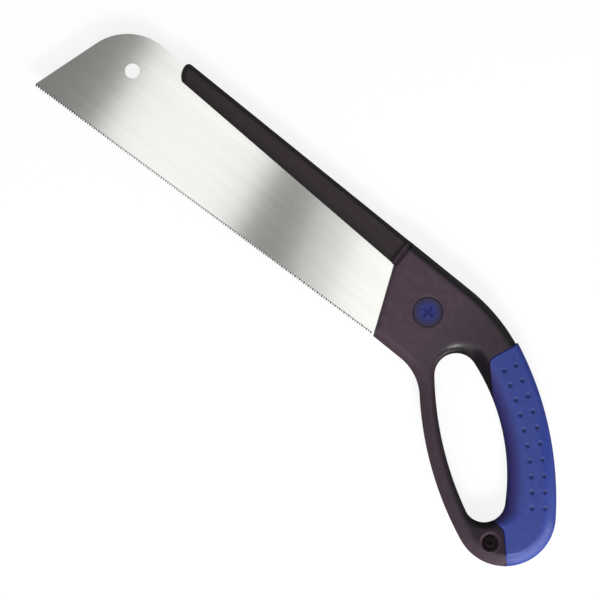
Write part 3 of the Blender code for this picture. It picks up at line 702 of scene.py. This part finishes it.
def new_material(name):
    """Material with its graph, shader and Object coordinates."""
    material = bpy.data.materials.new(name)
    material.use_nodes = True
    graph = Graph(material.node_tree)
    shader = material.node_tree.nodes["Principled BSDF"]
    place = graph.add("ShaderNodeTexCoord").outputs["Object"]
    return material, graph, shader, place


def moulded(name, dark, light, shaded_radius_colour, rough, shine, grain, depth, gloss):
    """Moulded plastic or rubber: blotched and grained faces, and radii of another roughness with a darker
    colour painted on as shade.

    A shade mark darkens it as painted shade and also raises its roughness. The colours are sRGB, the radius
    colour being painted shade, rough is the span of roughness on the faces, shine the roughness on the radii,
    grain the grain's frequency per metre, depth its height and gloss the specular level.
    """
    material, graph, shader, place = new_material(name)
    grained = graph.add("ShaderNodeGroup", node_tree=GRAIN)
    graph.join(place, grained.inputs["Vector"])
    grained.inputs["Grain"].default_value = grain
    radius = graph.add("ShaderNodeGroup", node_tree=FINISH_AND_SHADE)
    graph.join(place, radius.inputs["Vector"])
    smoothed = graph.add("ShaderNodeAttribute", attribute_name="finish_and_shade").outputs["Fac"]
    graph.join(smoothed, radius.inputs["Mark"])
    finish_and_shade = radius.outputs["FinishAndShade"]
    colour = graph.mix(grained.outputs["Mottle"], paint(*dark), paint(*light))
    # Shade mark: darkens the colour as painted shade and raises the roughness.
    painted_shade = graph.add("ShaderNodeAttribute", attribute_name="painted_shade").outputs["Fac"]
    colour = graph.mix(painted_shade, graph.mix(finish_and_shade, colour, paint(*shaded_radius_colour)), SHADE_TONE, "MULTIPLY")
    graph.join(colour, shader.inputs["Base Color"])
    faces = graph.span(grained.outputs["Smudge"], *rough)
    blend = graph.add("ShaderNodeMix", {0: finish_and_shade, 2: faces, 3: shine}, data_type="FLOAT").outputs[0]
    dulled = graph.math("MAXIMUM", blend, graph.span(painted_shade, 0.0, 1.0))
    graph.join(dulled, shader.inputs["Roughness"])
    relief = graph.math("MULTIPLY", grained.outputs["Height"], graph.span(finish_and_shade, 1.0, 0.2))
    bump = graph.add("ShaderNodeBump", {"Strength": 0.6, "Distance": depth, "Height": relief})
    graph.join(bump.outputs[0], shader.inputs["Normal"])
    shader.inputs["Specular IOR Level"].default_value = gloss
    return material


def brushed(name, dark, light, rough, hardened=None):
    """Brushed steel: fine lines in roughness and relief and wider streaks in colour, along the length.

    A hardened toothed edge, given by a point, its inward direction and its colour, is darker over the teeth.
    """
    material, graph, shader, place = new_material(name)
    lines = graph.add("ShaderNodeGroup", node_tree=BRUSH)
    graph.join(place, lines.inputs["Vector"])
    colour = graph.mix(lines.outputs["Streak"], paint(*dark), paint(*light))
    if hardened:
        start, inwards, tone = hardened
        height = graph.add("ShaderNodeVectorMath", {0: place, 1: (*inwards, 0.0)}, operation="DOT_PRODUCT")
        root, below, above = start @ inwards + TOOTH_HEIGHT, 0.0003, 0.0004
        teeth = graph.span(height.outputs["Value"], 1.0, 0.0, root - below, root + above)
        colour = graph.mix(teeth, colour, paint(*tone))
    graph.join(colour, shader.inputs["Base Color"])
    graph.join(graph.span(lines.outputs["Line"], *rough), shader.inputs["Roughness"])
    relief = lines.outputs["Line"]
    bump = graph.add("ShaderNodeBump", {"Strength": 0.05, "Distance": 0.00002, "Height": relief})
    graph.join(bump.outputs[0], shader.inputs["Normal"])
    shader.inputs["Metallic"].default_value = 1.0
    return material


# The radius colours are darker than the faces: painted shade.
casing_plastic = moulded(
    "casing_textured", dark=(78, 60, 72), light=(86, 68, 80), shaded_radius_colour=(29, 24, 28),
    rough=(0.50, 0.58), shine=0.21, grain=2300.0, depth=0.00008, gloss=0.33,
)
spine_plastic = moulded(
    "spine_textured", dark=(48, 35, 43), light=(54, 41, 49), shaded_radius_colour=(25, 20, 23),
    rough=(0.50, 0.58), shine=0.26, grain=2300.0, depth=0.00008, gloss=0.36,
)
grip_rubber = moulded(
    "grip_soft", dark=(35, 56, 146), light=(42, 64, 157), shaded_radius_colour=(46, 41, 114),
    rough=(0.41, 0.49), shine=0.60, grain=2900.0, depth=0.00006, gloss=0.56,
)
clamp_plastic = moulded(
    "clamp_satin", dark=(47, 53, 130), light=(55, 61, 142), shaded_radius_colour=(56, 51, 70),
    rough=(0.42, 0.52), shine=0.50, grain=2300.0, depth=0.00004, gloss=0.3,
)
screw_black = moulded(
    "screw_blackened", dark=(20, 13, 16), light=(27, 19, 22), shaded_radius_colour=(6, 4, 5),
    rough=(0.45, 0.58), shine=0.45, grain=3000.0, depth=0.00003, gloss=0.1,
)
blade_steel = brushed(
    "blade_brushed", dark=(229, 228, 224), light=(242, 242, 238), rough=(0.075, 0.10),
    hardened=(TOE, TOOTHED_INWARDS, (146, 145, 147)),
)
fastener_steel = brushed(
    "fastener_plated", dark=(160, 160, 163), light=(182, 182, 184), rough=(0.30, 0.42)
)


# Casing halves

def casing_sections(across):
    """Pairs of edges round the casing, from the grip's upper end over the front and the guard to the foot.

    Each pair has its shares along the edges, and the start and end of the part that is used. Corners of the
    outline meet the opening at headings chosen so that no two rulings cross.
    """
    front_low = (FRONT_LOW_X, BOTTOM_Y)
    ledge_y = spine_lower_edge(SHOULDER_X) - GAP
    front_high = (FRONT_HIGH_X, ledge_y)
    shoulder = SHOULDER_X + GAP
    nose = (shoulder, ledge_y)
    under_grip = (
        Arc(TOP_ARC, TOP_ARC_RADIUS, top_heading(UNDER_GRIP_X), top_heading(TOP_TURN_X)),
        Arc(LOOP_BACK, LOOP_BACK_RADIUS, LOOP_TOP - UNDER_GRIP_TURN, LOOP_TOP),
    )
    foot = (
        Arc(END, END_RADIUS, GUARD_END, GUARD_END + END_TURN),
        Arc(LOOP_LOW, LOOP_LOW_RADIUS, LOOP_FOOT, LOOP_FOOT + CASING_LOW_TURN),
    )
    begins = meet_shares(*under_grip, grip_top_end(SEAM_GAP), across)
    ends = meet_shares(*foot, grip_foot_end(SEAM_GAP), across)

    def front(start, end):
        return Arc(LOOP_FRONT, LOOP_FRONT_RADIUS, start, end)

    top = Arc(TOP_ARC, TOP_ARC_RADIUS, top_heading(TOP_TURN_X), 90)
    bottom = Line(front_low, (FILLET[0], BOTTOM_Y))
    return (
        (*under_grip, from_seam(30, 0.06), begins, 1),
        (top, front(LOOP_TOP, RULED_TOP), even(36), 0, 1),
        (Line((TOP_ARC_X, TOP_Y), (shoulder, TOP_Y)), front(RULED_TOP, RULED_SHOULDER), even(48), 0, 1),
        (Line((shoulder, TOP_Y), nose), front(RULED_SHOULDER, RULED_NOSE), even(18), 0, 1),
        (Line(nose, front_high), front(RULED_NOSE, RULED_FRONT), even(3), 0, 1),
        (Line(front_high, front_low), front(RULED_FRONT, RULED_BOTTOM), near_ends(52, 0.5), 0, 1),
        (bottom, front(RULED_BOTTOM, RULED_GUARD), near_ends(44, 0.4), 0, 1),
        (Arc(FILLET, GUARD_FILLET, 90, FILLET_END), front(RULED_GUARD, LOOP_RISE), even(26), 0, 1),
        (
            Arc(GUARD, GUARD_RADIUS, FILLET_END + 180, GUARD_END),
            Arc(LOOP_GUARD, LOOP_GUARD_RADIUS, LOOP_RISE, LOOP_FOOT), even(96), 0, 1,
        ),
        (*foot, to_seam(54, 0.03), 0, ends),
    )


def casing_edges():
    """The casing's edges along the top, along the bottom, the guard and the foot, and at the front."""
    edges = [section[0] for section in casing_sections(even(2))]
    return edges[:3], edges[6:], edges[5]


def handle_half(side, hand):
    """Casing half: a ruled plan with its edges rounded off, a coved collar and a core for the grip."""
    across = near_ends(66, 0.85)
    plan = ruled_plan(casing_sections(across), across)
    top_edges, low_edges, front_edge = casing_edges()
    drop = np.max([
        rounding(nearest(plan, top_edges), EDGE_ROUND, EDGE_ROUND),
        bevelling(nearest(plan, low_edges), GUARD_REACH, EDGE_ROUND), foot_drop(plan),
        rounding(front_edge.away(plan)[0], FRONT_REACH, FRONT_FALL), loop_drop(plan),
        rounding(seam_distance(plan, SEAM_GAP), SEAM_REACH, SEAM_FALL),
    ], axis=0)
    casing = slab(hand + "_casing_shell", plan, MIDDLE - drop, side, HALF_PARTING)
    combine(casing, "UNION", collar(side), arm_core(side))
    combine(casing, "DIFFERENCE", tang_slot(), *(left_seats() if side == LEFT else ()))
    # Painted shade over the casing, and the radii's finish with darker painted shade.
    mark(casing, "painted_shade", painted_casing_shade)
    return mark(casing, "finish_and_shade", casing_finish_and_shade)


def foot_drop(plan):
    """Drop round the foot, widening by a smooth step from the guard's rounding to the grip's at the seam."""
    distance, share = Arc(END, END_RADIUS, GUARD_END, GUARD_END + FOOT_TURN).away(plan)
    wide = smooth(share)
    reach = GUARD_REACH + wide * (END_REACH - GUARD_REACH)
    return bevelling(distance, reach, EDGE_ROUND + wide * (END_FALL - EDGE_ROUND))


def casing_finish_and_shade(points):
    """Glossier finish and darker painted shade on the roundings along the top and at the opening, little
    along the guard and the front.
    """
    plan = points[:, :2]
    top_edges, low_edges, front_edge = casing_edges()
    distance, palm, finish_and_shade = loop_nearest(plan)
    finish_and_shade = finish_and_shade * (1 - PALM_DULLED * palm_shade(palm))
    return np.max([
        closeness(nearest(plan, top_edges), TOP_FINISH_SHADE_REACH),
        GUARD_FINISH_SHADE * closeness(nearest(plan, low_edges), EDGE_ROUND),
        FRONT_FINISH_SHADE * closeness(front_edge.away(plan)[0], FRONT_REACH),
        finish_and_shade * closeness(distance, palm_reach(palm)),
    ], axis=0)


def painted_casing_shade(points):
    """Painted shade, darker towards the rear, which nears its full value by an exponential from the cheek on.

    It fills the palm's edge with painted shade, leaves the screw's seat unshaded and fades out towards the
    guard's outer edge, which is left lighter as if lit.
    """
    plan = points[:, :2]
    faces = CASING_SHADE * (1 - np.exp(-np.maximum(plan[:, 0] - CASING_SHADE_FROM_X, 0) / CASING_SHADE_LENGTH))
    from_screw = np.hypot(*(plan - SCREW).T) - SCREW_RADIUS
    faces = faces * np.clip((from_screw - SCREW_UNSHADED) / SCREW_UNSHADED, 0, 1)
    faces = faces * np.clip(nearest(plan, casing_edges()[1]) / GUARD_UNSHADED, 0, 1)
    distance, palm = loop_nearest(plan)[:2]
    return np.maximum(faces, palm_shade(palm) * closeness(distance, palm_reach(palm)))


def tang_slot():
    """Cutter for the slot of the blade's tang, open towards the front."""
    ahead, rear, low = COLLAR_X - CUT_MARGIN, TANG_REAR_X + GAP, TANG_LOW_Y - GAP
    outline = [(ahead, low), (rear, low), (rear, SPINE_ROOT_Y), (ahead, SPINE_ROOT_Y)]
    return prism("tang_slot", outline, MIDDLE - SLOT_HALF, MIDDLE + SLOT_HALF)


def left_seats():
    """Cutters for the seats of the clamp head and of the foot screw, turned recesses with an eased lip."""
    lip, rim, above = 0.0005, 0.0003, THICKNESS + CUT_MARGIN
    seat = HEAD_RADIUS + HEAD_CLEARANCE
    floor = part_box("clamp_washer")[0].z - GAP
    head_seat = [
        (seat, floor), (seat, THICKNESS - rim), (seat + 0.4 * rim, THICKNESS - 0.3 * rim),
        (seat + rim, THICKNESS), (seat + rim, above),
    ]
    bore = SCREW_RADIUS + SCREW_CLEARANCE
    screw_seat = [
        (bore, screw_high[2] - SCREW_HEAD_DEPTH - GAP), (bore, THICKNESS - 5 * lip),
        (bore + lip, THICKNESS - 3 * lip), (bore + 2 * lip, THICKNESS - lip),
        (bore + 3 * lip, THICKNESS), (bore + 3 * lip, above),
    ]
    return lathe("head_seat", np.zeros(2), head_seat, 96), lathe("screw_seat", SCREW, screw_seat, 72)


def collar(side):
    """Collar round the spine's root: a cove that rises with the cube of the way from its lip to the cheek."""
    steps = 30
    reach = SHOULDER_X - COLLAR_X
    fall = MIDDLE - SPINE_HALF - GAP - COLLAR_FOOT
    x = (COLLAR_X + (reach + COLLAR_LAP) * even(steps))[:, None]
    low = spine_lower_edge(x) - GAP
    y = low + (TOP_Y - low) * near_ends(steps, 0.8)
    plan = np.dstack([np.broadcast_to(x, y.shape), y])
    rise = np.clip((plan[..., 0] - COLLAR_X) / reach, 0, 1)
    slope = fall * (1 - rise**3)
    drop = np.maximum(np.maximum(slope, rounding(TOP_Y - y, EDGE_ROUND, EDGE_ROUND)), COLLAR_EASE)
    floor = SPINE_HALF + GAP
    return slab("collar", plan, np.maximum(MIDDLE - drop, floor + COLLAR_WALL), side, floor)


def arm_core(side):
    """Core of the rear arm, which runs on under the grip: the arm's form less the soft layer's cover."""
    across = near_ends(30, 0.6)
    back = Arc(BACK, BACK_RADIUS - SOFT_COVER, BACK_TOP + CORE_BACK_SET, BACK_LOW)
    foot = Arc(END, END_RADIUS - SOFT_COVER, BACK_LOW, BACK_LOW - CORE_END_TURN)
    palm = Arc(LOOP_BACK, LOOP_BACK_RADIUS + SOFT_COVER, LOOP_TOP, LOOP_FALL)
    heel = Arc(LOOP_LOW, LOOP_LOW_RADIUS + SOFT_COVER, LOOP_FALL, LOOP_FALL - CORE_LOW_TURN)
    plan = ruled_plan([(back, palm, even(60), 0, 1), (foot, heel, even(24), 0, 1)], across)
    return slab("core", plan, core_height(plan, SOFT_COVER), side, HALF_PARTING + CORE_SET)


def core_height(plan, cover):
    """Height of the arm under a cover: lowered by it all over, with the roundings set in by it."""
    return MIDDLE - cover - np.maximum(back_drop(plan, cover), loop_drop(plan, cover))


def back_drop(plan, cover=0.0):
    """Drop along the arm's back, where the rounding turns by a smooth step into the end's bevel."""
    distance, share = GRIP_BACK_EDGE.away(plan)
    wide = smooth(np.clip((share - BACK_BEVEL_FROM) / (1 - BACK_BEVEL_FROM), 0, 1))
    along = (1 - wide) * rounding(distance - cover, BACK_ROUND, BACK_ROUND)
    along = along + wide * bevelling(distance - cover, END_REACH, END_FALL)
    end = GRIP_END_EDGE.away(plan)[0]
    return np.maximum(along, bevelling(end - cover, END_REACH, END_FALL))


# Grips

def grip_half(side, hand):
    """Soft grip half round the arm's core: a deep palm rounding at the opening and two rows of dimples."""
    across = near_ends(92, 0.6)
    back = (GRIP_BACK_EDGE, Arc(LOOP_BACK, LOOP_BACK_RADIUS, LOOP_TOP, LOOP_FALL))
    foot = (GRIP_END_EDGE, Arc(LOOP_LOW, LOOP_LOW_RADIUS, LOOP_FALL, LOOP_FALL - GRIP_LOW_TURN))
    begins = meet_shares(*back, grip_top_end(0.0), across)
    ends = meet_shares(*foot, grip_foot_end(0.0), across)
    plan = ruled_plan(
        [(*back, from_seam(240, 0.012), begins, 1), (*foot, to_seam(60, 0.03), 0, ends)], across
    )
    drop = np.max([
        back_drop(plan), loop_drop(plan), rounding(seam_distance(plan, 0.0), SEAM_REACH, SEAM_FALL)
    ], axis=0)
    cover = SOFT_COVER - GAP
    inwards = np.minimum(nearest(plan, (GRIP_BACK_EDGE, GRIP_END_EDGE)), loop_nearest(plan)[0])
    inner = np.where(inwards > cover, core_height(plan, cover), HALF_PARTING)
    outer = MIDDLE - drop - dimple_depth(plan)
    pad = shell(hand + "_grip_pad", plan, MIDDLE + side * outer, MIDDLE + side * inner)
    # Painted shade in the dimples, and a darker painted shade over the palm's rounding.
    mark(pad, "painted_shade", dimple_shade)
    return mark(pad, "finish_and_shade", grip_palm_shade)


def grip_palm_shade(points):
    """Painted shade, with a rougher finish, growing evenly over the opening's rounding towards its edge."""
    distance, palm = loop_nearest(points[:, :2])[:2]
    return np.clip(PALM_TONE - PALM_TONE * distance / palm_reach(palm), 0, 1)


def dimple_depth(plan):
    """Depth of the dimples: bowls by the power one and a half of one less the squared distance."""
    along = (DIMPLE_START + DIMPLE_PITCH * np.arange(DIMPLES_PER_ROW)) / BACK_RADIUS
    turn = BACK_TOP - np.degrees(along)
    places = np.concatenate([BACK + (BACK_RADIUS - row) * towards(turn) for row in DIMPLE_ROWS])
    distance = curve_distance(plan, places) / DIMPLE_RADIUS
    return DIMPLE_DEPTH * np.clip(1 - distance**2, 0, 1) ** 1.5


def dimple_shade(points):
    """Painted shade in the dimples: twice the share of their depth, up to its full value."""
    return np.minimum(2 * dimple_depth(points[:, :2]) / DIMPLE_DEPTH, DIMPLE_SHADE)


# Spine

def spine_back():
    """Moulded spine: rulings from its rounded nose to its shoulder, rounded along the top and the lips."""
    corner = np.array([SPINE_TIP_X + SPINE_CORNER, TOP_Y - SPINE_CORNER])
    nose = np.array([SPINE_TIP_X + SPINE_NOSE, corner[1]])
    low_heading = 180 + math.degrees(math.asin((nose[1] - SPINE_TIP_Y) / SPINE_NOSE))
    nose_arc = Arc(nose, SPINE_NOSE, low_heading, 180)
    corner_arc = Arc(corner, SPINE_CORNER, 180, 90)
    front = np.vstack([nose_arc.at(near_start(26)), corner_arc.at(1 - near_start(20)[::-1])[1:]])
    shoulder = Line((SHOULDER_X, spine_lower_edge(SHOULDER_X)), (SHOULDER_X, TOP_Y))
    root = shoulder.at(near_ends(len(front) - 1, 0.75))
    along = near_start(150)[:, None, None]
    plan = front[None] * (1 - along) + root[None] * along
    rounded = (Line((corner[0], TOP_Y), (SHOULDER_X, TOP_Y)), corner_arc, nose_arc)
    lip = Line(front[0], root[0])
    height = SPINE_HALF - np.maximum(
        rounding(nearest(plan, rounded), SPINE_ROUND, SPINE_ROUND),
        rounding(lip.away(plan)[0], SPINE_LIP, SPINE_LIP),
    )
    spine = shell("spine_back", plan, MIDDLE + height, MIDDLE - height)
    ahead, behind = SPINE_TIP_X - GROOVE_MARGIN, SHOULDER_X + CUT_END
    below, above = SPINE_ROOT_Y - GROOVE_MARGIN, BACK_Y + GAP
    groove = [(ahead, below), (behind, below), (behind, above), (ahead, above)]
    combine(spine, "DIFFERENCE", prism("groove", groove, MIDDLE - SLOT_HALF, MIDDLE + SLOT_HALF))

    # Painted shade along the lower lip, next to the blade.
    def painted_shade(points):
        return np.clip(SPINE_LIP_SHADE - SPINE_LIP_SHADE * lip.away(points[:, :2])[0] / SPINE_LIP_SHADE_REACH, 0, 1)

    # Glossier finish and darker painted shade on the top's rounding and the lip.
    def finish_and_shade(points):
        top = closeness(nearest(points[:, :2], rounded), SPINE_FINISH_SHADE_REACH)
        return np.maximum(top, LIP_FINISH_SHADE * closeness(lip.away(points[:, :2])[0], LIP_FINISH_SHADE_REACH))

    mark(spine, "painted_shade", painted_shade)
    return mark(spine, "finish_and_shade", finish_and_shade)


# Clamp head and foot screw

def clamp_knob():
    """Head of the clamp screw: a turned disc with an eased rim and a cross recess."""
    low, high, ease, bevel = head_low[2], head_high[2], 0.0006, 0.0004
    turn = np.radians(np.linspace(0, 90, 7))
    rim = np.column_stack([HEAD_RADIUS - ease * (1 - np.cos(turn)), high - ease * (1 - np.sin(turn))])
    profile = np.vstack([
        [(HEAD_RADIUS - bevel, low), (HEAD_RADIUS, low + bevel)], rim,
        [(0.8 * HEAD_RADIUS, high), (0.5 * HEAD_RADIUS, high)],
    ])
    knob = lathe("clamp_knob", np.zeros(2), profile, 96)
    arm, width = CROSS_HALF, CROSS_HALF_WIDTH
    quarter = np.array([(arm, -width), (arm, width), (width, width)])
    quarter_turn = np.array([(0, 1), (-1, 0)])
    plus = np.vstack([quarter @ np.linalg.matrix_power(quarter_turn, count) for count in range(4)])
    levels = ((CROSS_TAPER, high - CROSS_DEPTH), (1.0, high), (1.0, high + CROSS_DEPTH))
    recess = loft("cross", [lifted(plus * scale, z) for scale, z in levels])
    bore = lathe("bore", np.zeros(2), [
        (STUD_BORE_RADIUS, low - CUT_END), (STUD_BORE_RADIUS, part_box("clamp_stud")[1].z + GAP)
    ], 40)
    combine(knob, "DIFFERENCE", recess, bore)

    # Painted shade in the bottom of the cross recess.
    def painted_shade(points):
        depth = (high - points[:, 2]) / CROSS_SHADE_DEPTH
        return np.clip(depth, 0, CROSS_SHADE) * (np.hypot(*points[:, :2].T) < CROSS_SHADE_REACH)

    mark(knob, "painted_shade", painted_shade)
    # Greyer, darker tone growing towards the rim: painted shade.
    return mark(
        knob, "finish_and_shade", lambda points: RIM_TONE * np.hypot(*points[:, :2].T) / HEAD_RADIUS - RIM_TONE_FROM
    )


def foot_screw():
    """Screw at the foot: a turned head with an eased rim, a plain shank and a six-sided socket."""
    low, high, ease, bevel = screw_low[2], screw_high[2], 0.0005, 0.0002
    under, tip, tip_rise = high - SCREW_HEAD_DEPTH, SHANK_RADIUS - 0.0005, 0.0006
    profile = [
        (tip, low), (SHANK_RADIUS, low + tip_rise), (SHANK_RADIUS, under),
        (SCREW_RADIUS - bevel, under), (SCREW_RADIUS, under + bevel), (SCREW_RADIUS, high - ease),
        (SCREW_RADIUS - 0.3 * ease, high - 0.3 * ease), (SCREW_RADIUS - ease, high),
    ]
    screw = lathe("foot_screw", SCREW, profile, 64)
    hexagon = towards(np.arange(6) * 60)
    socket = loft("socket", [lifted(SCREW + radius * hexagon, high + rise) for radius, rise in SOCKET_LEVELS])
    combine(screw, "DIFFERENCE", socket)
    # Darker painted shade, slightly glossier, round the socket.
    return mark(
        screw, "finish_and_shade", lambda points: closeness(np.hypot(*(points[:, :2] - SCREW).T), SOCKET_SHADE_REACH)
    )


for side, hand in ((LEFT, "left"), (RIGHT, "right")):
    finish_piece(handle_half(side, hand), hand + "_casing", "handle", casing_plastic)
    finish_piece(grip_half(side, hand), hand + "_grip", "handle", grip_rubber)
finish_piece(spine_back(), "spine", "handle", spine_plastic)
finish_piece(clamp_knob(), "clamp_head", "clamp_screw", clamp_plastic)
finish_piece(foot_screw(), "handle_screw", "handle", screw_black)

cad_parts["blade"].material_slots[0].material = blade_steel
for node in ("clamp_stud", "clamp_washer", "clamp_insert", "spine_pin", "stop_pin_upper", "stop_pin_lower"):
    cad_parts[node].material_slots[0].material = fastener_steel


# Floor, light and camera

FLOOR_HALF = 30.0
FLOOR_DROP = 0.0002
FLOOR_WHITE = 0.86
FLOOR_SHADE = (0.02, 0.30)
WORLD_DIM = 0.16
WORLD_PALE = 0.30
WORLD_OVERHEAD = (0.88, 0.975)
CARD_Z = MIDDLE + 1.3
CARD_HEIGHT = 1.4
CEILING_Z = CARD_Z + 0.2
CEILING_Y = -0.55
VIEW_CENTRE = (-0.0692, -0.0460)
VIEW_HEIGHT = 3.25
VIEW_TURN = 38.95
VIEW_LENS = 300.0
SENSOR_WIDTH = 36.0


def lay_floor():
    """Pale floor: white to the camera and to reflections, dim to scattered light, with a faint shadow.

    Reflections see it dark right beside the object, where it stands in its own shade.
    """
    corners = [(x * FLOOR_HALF, y * FLOOR_HALF, 0) for x, y in ((-1, -1), (1, -1), (1, 1), (-1, 1))]
    mesh = bpy.data.meshes.new("floor")
    mesh.from_pydata(corners, [], [(0, 1, 2, 3)])
    floor = bpy.data.objects.new("floor", mesh)
    bpy.context.scene.collection.objects.link(floor)
    floor.location.z = -FLOOR_DROP
    material = bpy.data.materials.new("pale_floor")
    material.use_nodes = True
    graph = Graph(material.node_tree)
    shader = material.node_tree.nodes["Principled BSDF"]
    shader.inputs["Base Color"].default_value = (0.25, 0.25, 0.25, 1.0)
    shader.inputs["Roughness"].default_value = 0.9
    shader.inputs["Specular IOR Level"].default_value = 0.0
    shader.inputs["Emission Color"].default_value = (1.0, 1.0, 1.0, 1.0)
    path = graph.add("ShaderNodeLightPath").outputs
    seen = graph.math("MAXIMUM", path["Is Camera Ray"], path["Is Glossy Ray"])
    seen = graph.math("MAXIMUM", seen, path["Is Transmission Ray"])
    white = graph.span(path["Ray Length"], 0.0, FLOOR_WHITE, *FLOOR_SHADE)
    graph.join(graph.math("MULTIPLY", seen, white), shader.inputs["Emission Strength"])
    mesh.materials.append(material)


def light_world():
    """World: white behind the object, dim to scattered light, and paler to reflections except overhead."""
    world = bpy.data.worlds.new("studio")
    world.use_nodes = True
    graph = Graph(world.node_tree)
    path = graph.add("ShaderNodeLightPath").outputs
    ray = graph.add("ShaderNodeTexCoord").outputs["Generated"]
    rise = graph.add("ShaderNodeSeparateXYZ", {0: ray}).outputs[2]
    seen = graph.math("MAXIMUM", path["Is Glossy Ray"], path["Is Transmission Ray"])
    pale = graph.math("MULTIPLY", seen, graph.span(rise, WORLD_PALE, 0.0, *WORLD_OVERHEAD))
    level = graph.math("ADD", graph.math("MAXIMUM", pale, path["Is Camera Ray"]), WORLD_DIM)
    background = world.node_tree.nodes["Background"]
    graph.join(level, background.inputs["Strength"])
    background.inputs["Color"].default_value = (1.0, 1.0, 1.0, 1.0)
    bpy.context.scene.world = world


def softbox(name, place, aim, width, height, radiance, turn=0.0):
    """Area light of an even radiance, turned about the upright by some degrees.

    Its power is the radiance times pi times its area.
    """
    light = bpy.data.lights.new(name, "AREA")
    light.shape = "RECTANGLE"
    light.size, light.size_y = width, height
    light.energy = radiance * math.pi * width * height
    obj = bpy.data.objects.new(name, light)
    bpy.context.scene.collection.objects.link(obj)
    obj.location = place
    obj.rotation_euler = (Vector(aim) - obj.location).to_track_quat("-Z", "Y").to_euler()
    obj.rotation_euler.z += math.radians(turn)
    obj.visible_camera = False


def set_camera():
    """Long lens high above the saw, square to the blade."""
    data = bpy.data.cameras.new("camera")
    data.lens, data.sensor_width = VIEW_LENS, SENSOR_WIDTH
    camera = bpy.data.objects.new("camera", data)
    bpy.context.scene.collection.objects.link(camera)
    camera.location = (*VIEW_CENTRE, MIDDLE + VIEW_HEIGHT)
    camera.rotation_euler = (0.0, 0.0, math.radians(VIEW_TURN))
    bpy.context.scene.camera = camera


lay_floor()
light_world()
softbox("ceiling", (0.0, CEILING_Y, CEILING_Z), (0.0, CEILING_Y, 0.0), 2.6, 1.5, 0.07)
for name, x, y, width, radiance, turn in (
    ("card_toe", -0.177, -0.490, 0.1526, 0.88, 7.0),
    ("card_step", 0.0745, -0.4755, 0.0418, 0.49, 18.0),
    ("card_handle", 0.262, -0.422, 0.348, 0.95, 18.0),
):
    softbox(name, (x, y, CARD_Z), (x, y, 0.0), width, CARD_HEIGHT, radiance, turn)
softbox("low_end", (0.46, -0.13, 0.055), (0.12, -0.06, 0.015), 0.52, 0.08, 8.5)
softbox("low_teeth", (0.30, -0.85, 1.05), (0.0, -0.03, 0.01), 1.4, 0.75, 0.95)
softbox("key", (0.77, -0.55, 1.00), (0.03, -0.01, 0.01), 0.32, 0.32, 20.5)
set_camera()
bpy.context.scene.view_settings.view_transform = "Standard"
